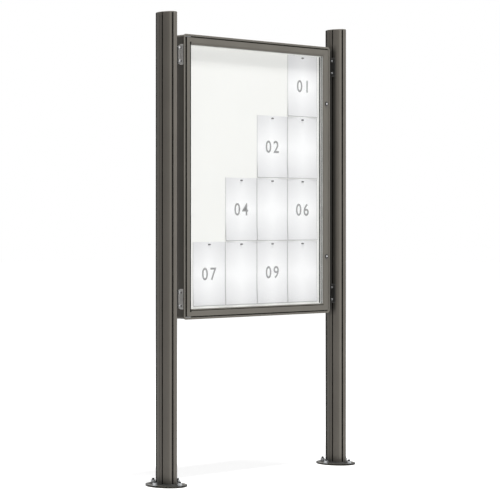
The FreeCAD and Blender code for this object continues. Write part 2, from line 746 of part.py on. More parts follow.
def hinge_pin(end):
    start = along_hinge(end, SIDE_INSET + SLIP)
    return cylinder(HINGE_PIN_DIAMETER / 2.0, start, along_hinge(end, LEAF_INSET + HINGE_PIN_ENGAGEMENT))


def hinge_bush(end):
    """Flanged bush in the leaf that runs on the pin."""
    top = LEAF_INSET - BUSH_FLANGE_THICKNESS
    flange = cylinder(BUSH_FLANGE_DIAMETER / 2.0, along_hinge(end, top), along_hinge(end, LEAF_INSET))
    tube = cylinder(BUSH_DIAMETER / 2.0, along_hinge(end, LEAF_INSET), along_hinge(end, LEAF_INSET + BUSH_LENGTH))
    bore = cylinder(HINGE_PIN_DIAMETER / 2.0 + HINGE_RUNNING_CLEARANCE, along_hinge(end, top - OVERCUT),
                    along_hinge(end, LEAF_INSET + BUSH_LENGTH + OVERCUT))
    return flange.fuse(tube).cut(bore)


# Locks


def lock_housing(centre):
    """Round rose in front of the stile and a barrel through it."""
    front = centre - Vector(0, LOCK_ROSE_HEIGHT, 0)
    tail = centre + Vector(0, DOOR_THICKNESS + LOCK_NUT_THICKNESS, 0)
    rose = cylinder(LOCK_ROSE_DIAMETER / 2.0, front, centre)
    rim = [edge for edge in rose.Edges if edge.BoundBox.YMax < front.y + NEAR]
    rose = rose.makeFillet(LOCK_ROSE_ROUND, rim)
    barrel = cylinder(LOCK_BODY_DIAMETER / 2.0, centre, tail)
    bore = cylinder(LOCK_PLUG_DIAMETER / 2.0 + HINGE_RUNNING_CLEARANCE, front - Vector(0, OVERCUT, 0),
                    tail + Vector(0, OVERCUT, 0))
    return rose.fuse(barrel).cut(bore)


def lock_nut(centre):
    seat = centre + Vector(0, DOOR_THICKNESS, 0)
    nut = hexagon(LOCK_NUT_ACROSS, seat, LOCK_NUT_THICKNESS, Vector(0, 1, 0))
    stop = seat + Vector(0, LOCK_NUT_THICKNESS + OVERCUT, 0)
    return nut.cut(cylinder(LOCK_BODY_DIAMETER / 2.0, seat - Vector(0, OVERCUT, 0), stop))


def cam_front():
    """Distance from the stile's face to the front of the cam."""
    return DOOR_THICKNESS + LOCK_NUT_THICKNESS + FIT


def lock_plug(centre):
    """Turning plug with an upright keyway."""
    front = centre - Vector(0, LOCK_ROSE_HEIGHT + LOCK_PLUG_PROUD, 0)
    tail = centre + Vector(0, cam_front(), 0)
    plug = cylinder(LOCK_PLUG_DIAMETER / 2.0, front, tail)
    keyway = box(centre.x - KEYWAY_WIDTH / 2.0, centre.x + KEYWAY_WIDTH / 2.0, front.y - OVERCUT,
                 front.y + KEYWAY_DEPTH, centre.z - KEYWAY_HEIGHT / 2.0, centre.z + KEYWAY_HEIGHT / 2.0)
    return plug.cut(keyway)


def lock_cam(centre):
    """Flat tongue that hangs straight down when unlocked and turns outwards to lock."""
    y = centre.y + cam_front()
    reach = CAM_LENGTH - CAM_WIDTH / 2.0
    eye = cylinder(CAM_WIDTH / 2.0, Vector(centre.x, y, centre.z), Vector(centre.x, y + CAM_THICKNESS, centre.z))
    low = Vector(centre.x, y, centre.z - reach)
    tip = cylinder(CAM_WIDTH / 2.0, low, low + Vector(0, CAM_THICKNESS, 0))
    bar = box(centre.x - CAM_WIDTH / 2.0, centre.x + CAM_WIDTH / 2.0, y, y + CAM_THICKNESS, low.z, centre.z)
    return eye.fuse(bar).fuse(tip).removeSplitter()


def cam_screw(centre):
    seat = centre + Vector(0, cam_front() + CAM_THICKNESS, 0)
    return cylinder(CAM_SCREW_DIAMETER / 2.0, seat, seat + Vector(0, CAM_SCREW_HEIGHT, 0))


def lock_keeper(centre):
    """Angle on the case wall whose tongue stands in front of the turned cam."""
    wall = CASE_WIDTH / 2.0 - SIDE_INSET
    back = cam_front() - FIT
    front = back - KEEPER_THICKNESS
    z0 = centre.z - KEEPER_WIDTH / 2.0
    z1 = centre.z + KEEPER_WIDTH / 2.0
    leg = box(wall - KEEPER_SHEET, wall, depth(RIM_THICKNESS), depth(LEDGE_DEPTH), z0, z1)
    tongue = box(wall - KEEPER_SHEET - KEEPER_TONGUE, wall - KEEPER_SHEET, depth(front), depth(back), z0, z1)
    return leg.fuse(tongue)


# Mounting brackets


def bracket_places():
    """Side and height of each bracket's centre."""
    low = CASE_BOTTOM + BRACKET_INSET
    high = CASE_TOP - BRACKET_INSET
    return [(LEFT, high), (LEFT, low), (RIGHT, high), (RIGHT, low)]


def bracket_span():
    """X of the bracket's outer faces on the right side: case wall and post."""
    return CASE_WIDTH / 2.0 - RIM_OVERHANG, (POST_SPACING - POST_WIDTH) / 2.0


def mounting_bracket(side, z):
    """Bent channel between case and post, open to the front, tapered towards its web."""
    case_face, post_face = bracket_span()
    front = depth(BRACKET_FRONT_SETBACK)
    back = front + BRACKET_DEPTH
    outer = box(case_face, post_face, front, back, z - BRACKET_HEIGHT / 2.0, z + BRACKET_HEIGHT / 2.0)
    bends = [edge for edge in outer.Edges if edge.BoundBox.YMin > back - NEAR and edge.BoundBox.XLength < NEAR]
    outer = outer.makeFillet(BRACKET_SHEET, bends)
    inner = box(case_face + BRACKET_SHEET, post_face - BRACKET_SHEET, front - OVERCUT, back - BRACKET_SHEET,
                z - BRACKET_HEIGHT, z + BRACKET_HEIGHT)
    channel = outer.cut(inner)
    for end in (-1, 1):
        edge = z + end * BRACKET_HEIGHT / 2.0
        taper_front = back - BRACKET_TAPER_LENGTH
        taper_end = edge - end * BRACKET_TAPER_HEIGHT
        corner = [Vector(case_face - OVERCUT, y, height) for y, height in (
            (taper_front, edge + end * OVERCUT), (taper_front, edge), (back, taper_end),
            (back + OVERCUT, taper_end), (back + OVERCUT, edge + end * OVERCUT))]
        channel = channel.cut(prism(corner, Vector(post_face - case_face + 2.0 * OVERCUT, 0.0, 0.0)))
    flange_ends = [edge for edge in channel.Edges
                   if edge.BoundBox.YLength > BRACKET_SHEET and edge.BoundBox.ZLength < NEAR]
    channel = channel.makeFillet(BRACKET_EDGE, flange_ends)
    for dz in (-BRACKET_BOLT_SPACING / 2.0, BRACKET_BOLT_SPACING / 2.0):
        for y, x0, x1 in ((CASE_BOLT_Y, case_face, case_face + BRACKET_SHEET),
                          (SIDE_SLOT_Y, post_face - BRACKET_SHEET, post_face)):
            start = Vector(x0 - OVERCUT, y, z + dz)
            channel = channel.cut(cylinder(BOLT_DIAMETER / 2.0 + SLIP, start, Vector(x1 + OVERCUT, y, z + dz)))
    return channel if side == RIGHT else mirrored(channel)


def socket_bolt(seat, direction, length):
    """Round-headed bolt: the head stands on the seat and the shank runs along the direction."""
    head = cylinder(BOLT_HEAD_DIAMETER / 2.0, Vector(0, 0, 0), Vector(0, 0, BOLT_HEAD_HEIGHT))
    rim = [edge for edge in head.Edges if edge.BoundBox.ZMin > BOLT_HEAD_HEIGHT - NEAR]
    head = head.makeFillet(BOLT_HEAD_ROUND, rim)
    floor = Vector(0, 0, BOLT_HEAD_HEIGHT - BOLT_SOCKET_DEPTH)
    head = head.cut(hexagon(BOLT_SOCKET, floor, BOLT_SOCKET_DEPTH + OVERCUT, Vector(0, 0, 1)))
    bolt = head.fuse(cylinder(BOLT_DIAMETER / 2.0, Vector(0, 0, 0), Vector(0, 0, -length)))
    bolt.Placement = FreeCAD.Placement(seat, FreeCAD.Rotation(Vector(0, 0, -1), direction))
    return bolt


def slot_nut_front():
    """How far inside the post's widest line the slot nuts start."""
    mouth = side_places(SIDE_SLOT_Y)[0][0]
    return POST_WIDTH / 2.0 - mouth.x + SLOT_LIP


def bracket_fixings():
    """Bolts, nuts and slot nuts of the four brackets, as named lists."""
    case_face, post_face = bracket_span()
    fixings = {"post_bolts": [], "case_bolts": [], "slot_nuts": [], "case_nuts": []}
    nut_front = slot_nut_front()
    post_length = BRACKET_SHEET + nut_front + SLOT_NUT_THICKNESS + BOLT_TIP
    case_length = BRACKET_SHEET + CASE_WALL + NUT_HEIGHT + BOLT_TIP
    for side, z in bracket_places():
        for dz in (-BRACKET_BOLT_SPACING / 2.0, BRACKET_BOLT_SPACING / 2.0):
            outwards = Vector(side, 0, 0)
            inwards = Vector(-side, 0, 0)
            seat = Vector(side * (post_face - BRACKET_SHEET), SIDE_SLOT_Y, z + dz)
            fixings["post_bolts"].append(socket_bolt(seat, outwards, post_length))
            seat = Vector(side * (case_face + BRACKET_SHEET), CASE_BOLT_Y, z + dz)
            fixings["case_bolts"].append(socket_bolt(seat, inwards, case_length))
            start = Vector(side * (case_face - CASE_WALL), CASE_BOLT_Y, z + dz)
            nut = hexagon(NUT_ACROSS, start, NUT_HEIGHT, inwards)
            bore = cylinder(BOLT_DIAMETER / 2.0 + SLIP, start, start + inwards * (NUT_HEIGHT + OVERCUT))
            fixings["case_nuts"].append(nut.cut(bore))
            x0 = post_face + nut_front
            half = SLOT_CAVITY_WIDTH / 2.0 - FIT
            bar = box(x0, x0 + SLOT_NUT_THICKNESS, SIDE_SLOT_Y - half, SIDE_SLOT_Y + half,
                      z + dz - SLOT_NUT_LENGTH / 2.0, z + dz + SLOT_NUT_LENGTH / 2.0)
            stop = Vector(x0 + SLOT_NUT_THICKNESS + OVERCUT, SIDE_SLOT_Y, z + dz)
            bar = bar.cut(cylinder(BOLT_DIAMETER / 2.0 + SLIP, Vector(x0, SIDE_SLOT_Y, z + dz), stop))
            fixings["slot_nuts"].append(bar if side == RIGHT else mirrored(bar))
    return fixings


def build_posts():
    for side, name in ((LEFT, "left"), (RIGHT, "right")):
        save(post(side), name + "_post")
        save(post_cap(side), name + "_post_cap")
        save(base_plate(side), name + "_base_plate")
    studs, washers, nuts = anchor_stack()
    save(group(studs), "anchor_studs")
    save(group(washers), "anchor_washers")
    save(group(nuts), "anchor_nuts")


def build_case():
    names = {"top": "case_top_rail", "bottom": "case_bottom_rail",
             "left": "case_left_stile", "right": "case_right_stile"}
    for side, shape in case_sides().items():
        save(shape, names[side])
    save(corner_brackets(), "case_corner_brackets")
    save(rear_cover(), "rear_cover")
    save(rear_cover_screws(), "rear_cover_screws")
    save(display_panel(), "display_panel")
    save(panel_edge_seals(), "panel_edge_seals")
    save(paper_sheets(), "paper_sheets")
    save(magnets(), "magnets")
    save(door_seal(), "door_seal")


def build_brackets():
    for side, z in bracket_places():
        height = "upper" if z > CASE_MIDDLE else "lower"
        hand = "left" if side == LEFT else "right"
        save(mounting_bracket(side, z), height + "_" + hand + "_bracket")
    for name, shapes in bracket_fixings().items():
        save(group(shapes), "bracket_" + name)


def build_door():
    names = {"top": "door_top_rail", "bottom": "door_bottom_rail",
             "left": "door_hinge_stile", "right": "door_lock_stile"}
    for side, shape in door_sides().items():
        save(shape, names[side])
    save(door_connectors(), "door_corner_connectors")
    save(glass_pane(), "glass_pane")
    save(glazing_tape(LIP_THICKNESS), "front_glazing_tape")
    save(glazing_tape(glass_front() + GLASS_THICKNESS), "rear_glazing_tape")
    save(glazing_beads(), "glazing_beads")


def build_hinges():
    for end, name in ((1, "upper"), (-1, "lower")):
        save(hinge_block(end), name + "_hinge_block")
        save(hinge_pin(end), name + "_hinge_pin")
        save(hinge_bush(end), name + "_hinge_bush")


def build_locks():
    for name, centre in lock_axes():
        save(lock_housing(centre), name + "_lock_housing")
        save(lock_nut(centre), name + "_lock_nut")
        save(lock_plug(centre), name + "_lock_plug")
        save(lock_cam(centre), name + "_lock_cam")
        save(cam_screw(centre), name + "_cam_screw")
        save(lock_keeper(centre), name + "_lock_keeper")


os.makedirs("parts", exist_ok=True)
build_posts()
build_case()
build_brackets()
build_door()
build_hinges()
build_locks()
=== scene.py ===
import math

import bmesh
import bpy
from bpy.props import FloatProperty, FloatVectorProperty, PointerProperty
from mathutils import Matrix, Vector


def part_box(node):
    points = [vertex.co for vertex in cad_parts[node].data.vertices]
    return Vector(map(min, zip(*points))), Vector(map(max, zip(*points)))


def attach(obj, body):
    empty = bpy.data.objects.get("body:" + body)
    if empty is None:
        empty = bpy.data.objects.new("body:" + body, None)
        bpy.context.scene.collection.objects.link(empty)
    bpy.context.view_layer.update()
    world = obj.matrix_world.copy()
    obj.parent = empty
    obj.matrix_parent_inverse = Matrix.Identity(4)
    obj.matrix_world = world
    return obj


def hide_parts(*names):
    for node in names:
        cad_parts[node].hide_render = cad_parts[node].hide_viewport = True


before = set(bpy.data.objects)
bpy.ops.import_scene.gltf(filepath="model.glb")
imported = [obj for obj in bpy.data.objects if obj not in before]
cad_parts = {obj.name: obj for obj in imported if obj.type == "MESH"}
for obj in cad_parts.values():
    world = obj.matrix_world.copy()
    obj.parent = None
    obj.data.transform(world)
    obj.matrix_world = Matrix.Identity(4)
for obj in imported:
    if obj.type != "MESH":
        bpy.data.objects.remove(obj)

bl_info = {
    "name": "Lockable Notice Board",
    "version": (1, 0, 0),
    "blender": (4, 5, 0),
    "location": "3D View > Sidebar > Notice Board",
    "description": "Gives the notice board its finishes, its sheets and magnets, and a plain studio",
    "category": "Object",
}

# Where the CAD frame puts things, in metres
CASE_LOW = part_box("case_bottom_rail")[0]
CASE_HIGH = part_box("case_top_rail")[1]
CASE_MIDDLE = (CASE_LOW + CASE_HIGH) / 2.0
CASE_HALF = Vector(((CASE_HIGH.x - CASE_LOW.x) / 2.0, (CASE_HIGH.z - CASE_LOW.z) / 2.0))
FRONT = CASE_LOW.y
LEAF_INSET = CASE_HIGH.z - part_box("door_top_rail")[1].z
LIP_INSET = CASE_HALF.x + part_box("door_hinge_stile")[1].x
PAN_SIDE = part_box("panel_edge_seals")[1].x
BRACKET_LOW, BRACKET_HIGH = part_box("upper_left_bracket")
BRACKET_HALF = (BRACKET_HIGH.z - BRACKET_LOW.z) / 2.0
BRACKET_RISE = BRACKET_LOW.z + BRACKET_HALF - CASE_MIDDLE.z
SIDE_WALL = -BRACKET_HIGH.x
POST_LOW, POST_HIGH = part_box("right_post")
POST_X = (POST_LOW.x + POST_HIGH.x) / 2.0
POST_HALF = (POST_HIGH - POST_LOW) / 2.0
POST_INNER = POST_X - POST_HALF.x
CAP_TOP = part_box("right_post_cap")[1].z
PLATE_LOW, PLATE_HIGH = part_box("right_base_plate")
PLATE_HALF = (PLATE_HIGH - PLATE_LOW) / 2.0
PLATE_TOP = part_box("anchor_washers")[0].z
LOCK_LOW, LOCK_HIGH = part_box("upper_lock_plug")

# What a mask reaches past a surface, so that it takes the surface in, in metres
SLACK = 0.0002

# The painted shade in the gap round the door, which ends short of the leaf's right side, and on the inner
#  edge of the leaf, in metres
DOOR_GAP = 0.004
GAP_SPILL = 0.0006
GAP_END = 0.001
LEFT_EDGE_WIDTH = 0.0085
FOOT_EDGE_WIDTH = 0.0035
EDGE_DEPTH = 0.006

# Painted shade on the case's sides, behind its front and past the brackets' ends, in metres
RIM_SHADE_START = 0.0008
RIM_SHADE_END = 0.0165
BRACKET_SHADE_START = 0.005
BRACKET_SHADE_REACH = 0.009

# Painted shade and painted highlight lines on the posts, and painted shade on their plates, in metres.
# Lines and
#  slots end the first length below the caps' tops, and the plates' painted shade is measured from an oval
#  wider than the post by the second.
BELOW_CAP_TOP = 0.0045
WELD_SHADE_REACH = 0.008
PLATE_FOOT = 0.0035
FLANK_LINE_Y = 0.037
FLANK_LINE_HALF = 0.0055
FLANK_LINE_START = 0.006
HIGHLIGHT_LINE_X = 0.0207
HIGHLIGHT_LINE_HALF = 0.002
HIGHLIGHT_LINE_START = 0.02
FOOT_SHADE_HEIGHT = 0.035

# Painted highlight and shade on the brackets, whose flange on the case lies within this reach of its side
#  wall, and marks on the bolts, studs and locks, in metres
FLANGE_REACH = 0.0045
HIGHLIGHT_END = 0.004
BOLT_SPOT_Y = -0.0130
BOLT_SPOT_RADIUS = 0.0043
BOLT_SOCKET_RADIUS = 0.0015
THREAD_PITCH = 0.00175
LOCK_CORE_RADIUS = 0.0044

# How thick a sheet is, and how far its middle and the print stand off what they lie on, in metres
PAPER_THICKNESS = 0.00015
HAIR = 0.0001

# The painted shade line along a sheet's sides and foot, as shares of the sheet's width and height
SIDE_SHADE_LINE = 0.0105
FOOT_SHADE_LINE = 0.0088

# The sheets that carry a number, counted along each row from the top
NUMBERED_SHEETS = (1, 2, 4, 6, 7, 9)

# The photograph is 500 pixels square; its horizon lies on this row, counted from the top
PHOTO_SIDE = 500.0
HORIZON_ROW = 222.97

# Where the lamps stand, and their width and height, in metres
KEY_PLACE = (-0.9, -7.0, 3.2)
KEY_SIZE = (4.0, 4.0)
TOP_PLACE = (0.0, -1.75, 9.0)
TOP_SIZE = (3.0, 0.8)

# The floor's glow grows between these distances from the board, in metres, and these strengths
GLOW_NEAR, GLOW_FAR = 1.0, 8.0
GLOW_LOW, GLOW_HIGH = 0.74, 0.91


class FinishSettings(bpy.types.PropertyGroup):
    """Colours of the finishes."""

    coat: FloatVectorProperty(
        name="Profile coat", description="Colour of the powder coat on posts, case and door",
        subtype="COLOR", size=3, min=0.0, max=1.0, default=(0.142, 0.133, 0.115))
    bracket: FloatVectorProperty(
        name="Bracket steel", description="Colour of the mounting brackets",
        subtype="COLOR", size=3, min=0.0, max=1.0, default=(0.87, 0.86, 0.84))
    panel: FloatVectorProperty(
        name="Panel enamel", description="Colour of the display panel",
        subtype="COLOR", size=3, min=0.0, max=1.0, default=(0.91, 0.91, 0.885))
    steel: FloatVectorProperty(
        name="Zinc", description="Colour of the zinc on nuts, bolts, studs and washers",
        subtype="COLOR", size=3, min=0.0, max=1.0, default=(0.52, 0.53, 0.54))
    # This colour paints shade: in slots, gaps and corners, at the posts' feet and on the foot plates.
    painted_shade: FloatVectorProperty(
        name="Grime", description="Colour of the dirt in slots, gaps and corners",
        subtype="COLOR", size=3, min=0.0, max=1.0, default=(0.006, 0.006, 0.005))
    rubber: FloatVectorProperty(
        name="Rubber", description="Colour of the seals",
        subtype="COLOR", size=3, min=0.0, max=1.0, default=(0.018, 0.018, 0.018))
    tape: FloatVectorProperty(
        name="Glazing tape", description="Colour of the foam tapes on both faces of the glass",
        subtype="COLOR", size=3, min=0.0, max=1.0, default=(0.62, 0.62, 0.61))
    bead: FloatVectorProperty(
        name="Glazing bead", description="Colour of the beads behind the glass",
        subtype="COLOR", size=3, min=0.0, max=1.0, default=(0.72, 0.72, 0.70))
    grain: FloatProperty(
        name="Coat grain", description="Width of one bump of the powder coat's skin",
        subtype="DISTANCE", unit="LENGTH", min=0.0001, max=0.01, default=0.0016)


class SheetSettings(bpy.types.PropertyGroup):
    """The sheets on the panel, their numbers and their magnets."""

    paper: FloatVectorProperty(
        name="Paper", description="Colour of the middle of a sheet",
        subtype="COLOR", size=3, min=0.0, max=1.0, default=(0.975, 0.975, 0.98))
    # The sheets are painted darker towards their corners in this colour, as a pool of light on their
    # middles.
    paper_corner_shade: FloatVectorProperty(
        name="Paper edge", description="Colour that a sheet shades to at its corners",
        subtype="COLOR", size=3, min=0.0, max=1.0, default=(0.76, 0.76, 0.77))
    # The hairline is painted shade along a sheet's sides and foot.
    outline: FloatVectorProperty(
        name="Hairline", description="Colour of the hairline round a sheet",
        subtype="COLOR", size=3, min=0.0, max=1.0, default=(0.36, 0.36, 0.36))
    print_colour: FloatVectorProperty(
        name="Print", description="Colour of the printed numbers",
        subtype="COLOR", size=3, min=0.0, max=1.0, default=(0.30, 0.30, 0.30))
    magnet: FloatVectorProperty(
        name="Magnets", description="Colour of the magnets' caps",
        subtype="COLOR", size=3, min=0.0, max=1.0, default=(0.13, 0.13, 0.135))
    number_height: FloatProperty(
        name="Number height", description="Height of the printed numbers",
        subtype="DISTANCE", unit="LENGTH", min=0.005, max=0.2, default=0.059)
    curl: FloatProperty(
        name="Curl", description="How far a sheet's lower corners stand off the panel",
        subtype="DISTANCE", unit="LENGTH", min=0.0, max=0.01, default=0.003)


class StudioSettings(bpy.types.PropertyGroup):
    """The camera, the lamps and the floor."""

    camera_place: FloatVectorProperty(
        name="Camera place", description="Where the camera stands",
        subtype="TRANSLATION", unit="LENGTH", size=3, default=(-6.6075, -6.459, 1.1926))
    camera_heading: FloatProperty(
        name="Camera heading", description="How far the camera is turned to the right",
        subtype="ANGLE", unit="ROTATION", default=math.radians(45.51))
    focal_length: FloatProperty(
        name="Focal length", description="Lens of a 36 mm wide sensor, in millimetres", default=140.1)
    world_level: FloatProperty(
        name="Room light", description="Strength of the even light from all round", default=0.125)
    key_power: FloatProperty(
        name="Key lamp", description="Power of the large lamp in front",
        subtype="POWER", unit="POWER", default=200.0)
    top_power: FloatProperty(
        name="Top lamp", description="Power of the lamp above the board",
        subtype="POWER", unit="POWER", default=780.0)
    floor_half: FloatProperty(
        name="Floor", description="Half the side of the floor",
        subtype="DISTANCE", unit="LENGTH", default=40.0)


class BoardSettings(bpy.types.PropertyGroup):
    """All the settings of the notice board."""

    finish: PointerProperty(type=FinishSettings)
    sheet: PointerProperty(type=SheetSettings)
    studio: PointerProperty(type=StudioSettings)


def settings():
    return bpy.context.scene.notice_board


# Shader sums


class Signal:
    """A shader output that Python sums can use: each sum adds its Math node."""

    def __init__(self, finish, socket):
        self.finish = finish
        self.socket = socket

    def sum_with(self, operation, first, second):
        return self.finish.node("ShaderNodeMath", {"operation": operation}, {0: first, 1: second})

    def __add__(self, other):
        return self.sum_with("ADD", self, other)

    def __radd__(self, other):
        return self.sum_with("ADD", other, self)

    def __sub__(self, other):
        return self.sum_with("SUBTRACT", self, other)

    def __rsub__(self, other):
        return self.sum_with("SUBTRACT", other, self)

    def __mul__(self, other):
        return self.sum_with("MULTIPLY", self, other)

    def __rmul__(self, other):
        return self.sum_with("MULTIPLY", other, self)

    def __gt__(self, other):
        return self.sum_with("GREATER_THAN", self, other)

    def __lt__(self, other):
        return self.sum_with("LESS_THAN", self, other)


def socket_name(word):
    """The name that Blender shows for a socket of the Principled surface."""
    return word.replace("_", " ").title().replace("Ior", "IOR")


class Finish:
    """A material in the making, with its Principled surface and the nodes that feed it."""

    def __init__(self, name, **surface):
        self.material = bpy.data.materials.new(name)
        self.material.use_nodes = True
        self.tree = self.material.node_tree
        self.surface = self.tree.nodes["Principled BSDF"]
        for socket, value in surface.items():
            self.surface.inputs[socket_name(socket)].default_value = value

    def node(self, kind, traits=None, inputs=None, output=0):
        """Adds a node: its traits are set first, then its sockets get values or links."""
        made = self.tree.nodes.new(kind)
        for trait, value in (traits or {}).items():
            setattr(made, trait, value)
        for socket, value in (inputs or {}).items():
            if isinstance(value, Signal):
                self.tree.links.new(value.socket, made.inputs[socket])
            else:
                made.inputs[socket].default_value = value
        return Signal(self, made.outputs[output])

    def place(self, scale=(1.0, 1.0, 1.0)):
        """Object coordinates, scaled by a Mapping node."""
        where = self.node("ShaderNodeTexCoord", output="Object")
        return self.node("ShaderNodeMapping", {}, {"Vector": where, "Scale": scale})

    def axes(self):
        """The X, Y and Z of Object coordinates."""
        return self.parts_of(self.node("ShaderNodeTexCoord", output="Object"))

    def parts_of(self, place):
        """The three numbers of a vector."""
        split = self.node("ShaderNodeSeparateXYZ", {}, {0: place})
        return [Signal(self, split.socket.node.outputs[axis]) for axis in range(3)]

    def size_of(self, value):
        """A value without its sign."""
        return self.node("ShaderNodeMath", {"operation": "ABSOLUTE"}, {0: value})

    def smaller(self, first, second):
        return self.node("ShaderNodeMath", {"operation": "MINIMUM"}, {0: first, 1: second})

    def larger(self, first, second):
        return self.node("ShaderNodeMath", {"operation": "MAXIMUM"}, {0: first, 1: second})

    def noise(self, scale, detail=2.0, where=None):
        return self.node("ShaderNodeTexNoise", {}, {"Vector": where or self.place(), "Scale": scale,
                                                    "Detail": detail}, output="Fac")

    def ranged(self, value, low, high, out_low=0.0, out_high=1.0):
        """A value taken from one range to another, without going past its ends."""
        return self.node("ShaderNodeMapRange", {"clamp": True}, {
            "Value": value, "From Min": low, "From Max": high, "To Min": out_low, "To Max": out_high})

    def blend(self, factor, first, second):
        """One colour going over into another."""
        made = self.tree.nodes.new("ShaderNodeMix")
        made.data_type = "RGBA"
        for name, value in (("Factor_Float", factor), ("A_Color", first), ("B_Color", second)):
            socket = next(item for item in made.inputs if item.identifier == name)
            if isinstance(value, Signal):
                self.tree.links.new(value.socket, socket)
            else:
                socket.default_value = value if name == "Factor_Float" else (*value[:3], 1.0)
        return Signal(self, next(item for item in made.outputs if item.identifier == "Result_Color"))

    def feed(self, **signals):
        """Links signals to the surface's sockets."""
        for socket, signal in signals.items():
            self.tree.links.new(signal.socket, self.surface.inputs[socket_name(socket)])

    def bump(self, height, strength, distance):
        self.feed(normal=self.node("ShaderNodeBump", {}, {
            "Height": height, "Strength": strength, "Distance": distance}))


def shade(colour, factor):
    """A colour made darker or lighter."""
    return tuple(min(channel * factor, 1.0) for channel in colour)


def from_bracket(finish, z):
    """Height above or below the middle of the nearest bracket, without its sign."""
    return finish.size_of(finish.size_of(z - CASE_MIDDLE.z) - BRACKET_RISE)


def past_oval(coat, x, y, half_x, half_y):
    """How far out from a post's middle a place lies: 1 on the oval of these half axes."""
    across = (coat.size_of(x) - POST_X) * (1.0 / half_x)
    along = y * (1.0 / half_y)
    return across * across + along * along


def in_slots(coat, x, y, z):
    """Is 1 inside the slots of a post, where shade is painted: within the post's oval and below the cap's
    rounded edge.
    """
    inside = past_oval(coat, x, y, POST_HALF.x, POST_HALF.y) < 0.975
    return inside * (z < CAP_TOP - BELOW_CAP_TOP) * (z > PLATE_TOP)


def in_dark_lines(coat, x, y, z):
    """Is 1 where shade is painted: in the gap round the door, but for its right side, and on the leaf's
    inner edge at its left and foot."""
    inset = coat.smaller(CASE_HALF.x - coat.size_of(x), CASE_HALF.y - coat.size_of(z - CASE_MIDDLE.z))
    gap = (inset > LEAF_INSET - DOOR_GAP - GAP_SPILL) * (inset < LEAF_INSET + GAP_SPILL)
    gap = gap * (x < CASE_HALF.x - LEAF_INSET - GAP_END)
    left = (x + CASE_HALF.x < LIP_INSET + SLACK) * (inset > LIP_INSET - LEFT_EDGE_WIDTH)
    foot = (z - CASE_LOW.z < LIP_INSET + SLACK) * (inset > LIP_INSET - FOOT_EDGE_WIDTH)
    return gap + (left + foot) * (y < FRONT + EDGE_DEPTH)


def on_side_band(coat, x, y, z):
    """Is 1 where shade is painted on the case's sides: just behind the rim and past the brackets' ends.
    """
    band = (y < FRONT + RIM_SHADE_END) * (y > FRONT + RIM_SHADE_START)
    past_end = from_bracket(coat, z) - BRACKET_HALF
    end = (past_end > 0.0) * (past_end < BRACKET_SHADE_REACH) * (y > FRONT + BRACKET_SHADE_START)
    side = (coat.size_of(x) > SIDE_WALL - SLACK) * (coat.size_of(x) < CASE_HALF.x + SLACK)
    return coat.larger(band, end) * side


def on_flank_line(coat, x, y, z):
    """Is 1 on the painted line of shade along the back of each flank of a post."""
    flank = (coat.size_of(x) > POST_INNER) * (z > PLATE_TOP + FLANK_LINE_START)
    return flank * (z < CAP_TOP - BELOW_CAP_TOP) * (coat.size_of(y - FLANK_LINE_Y) < FLANK_LINE_HALF)


def on_highlight_line(coat, x, z):
    """Is 1 on the painted highlight lines beside the front and back slots of a post."""
    off_middle = coat.size_of(coat.size_of(x) - POST_X)
    below_cap = (z > PLATE_TOP + HIGHLIGHT_LINE_START) * (z < CAP_TOP - BELOW_CAP_TOP)
    return below_cap * (coat.size_of(off_middle - HIGHLIGHT_LINE_X) < HIGHLIGHT_LINE_HALF)


def case_facing_shade(coat, x, y, z):
    """Grows to 1 on the flank of a post that faces the case, within the case's height, where shade is
    painted.
    """
    inner = (coat.size_of(x) > POST_INNER) * (coat.size_of(x) < POST_X)
    past_case = coat.size_of(z - CASE_MIDDLE.z) - CASE_HALF.y
    return inner * coat.ranged(past_case, -0.02, 0.02, 1.0, 0.0) * coat.ranged(y, -0.034, -0.020)


def powder_coat(name, colour, roughness):
    """Satin powder coat: a finely pebbled skin, faint clouds of tone and a little dust near the ground,
    with painted shade in the posts' slots, at their feet, along a line on each flank, on the case's
    sides, in the gap round the door and on the leaf's inner edge. The posts are a little warmer, with
    painted highlight lines beside their front and back slots and painted shade where they face the case."""
    shade_tint = settings().finish.painted_shade
    coat = Finish(name, specular_ior_level=0.2)
    grain = 1.0 / settings().finish.grain
    skin = coat.noise(grain, 2.0)
    cloud = coat.noise(5.0, 4.0)
    x, y, z = coat.axes()
    tone = coat.blend(coat.ranged(cloud, 0.35, 0.65), shade(colour, 0.95), shade(colour, 1.05))
    tone = coat.blend((coat.size_of(x) > POST_INNER) * 0.10, tone, (0.060, 0.028, 0.022))
    fleck = coat.ranged(coat.noise(grain * 2.2, 1.0), 0.62, 0.72)
    tone = coat.blend(fleck * 0.25, tone, shade(colour, 1.5))
    dust = coat.ranged(z, 0.03, 0.16, 1.0, 0.0) * coat.ranged(coat.noise(38.0, 5.0), 0.45, 0.75)
    tone = coat.blend(dust * 0.15, tone, (0.30, 0.28, 0.25))
    # Painted highlight lines beside the posts' front and back slots.
    tone = coat.blend(on_highlight_line(coat, x, z) * 0.4, tone, shade(colour, 2.0))
    # Painted shade at the posts' feet and on their flanks that face the case.
    foot = coat.ranged(z, PLATE_TOP, PLATE_TOP + FOOT_SHADE_HEIGHT, 0.55, 0.0)
    tone = coat.blend(coat.larger(case_facing_shade(coat, x, y, z) * 0.75, foot), tone, shade(shade_tint, 1.6))
    # Painted shade in the slots, along the flank lines, on the case's sides and round the door; it also
    # turns these places metallic, which darkens them further.
    painted_shade = in_slots(coat, x, y, z) + on_flank_line(coat, x, y, z) + on_side_band(coat, x, y, z) * 0.85
    painted_shade = coat.larger(painted_shade, in_dark_lines(coat, x, y, z))
    tone = coat.blend(painted_shade * 0.97, tone, shade_tint)
    coat.feed(base_color=tone, roughness=cloud * 0.10 + (roughness - 0.05) + dust * 0.2 + painted_shade * 0.4,
              metallic=painted_shade * 0.9)
    coat.bump(skin, 0.10, 0.0004)
    return coat.material


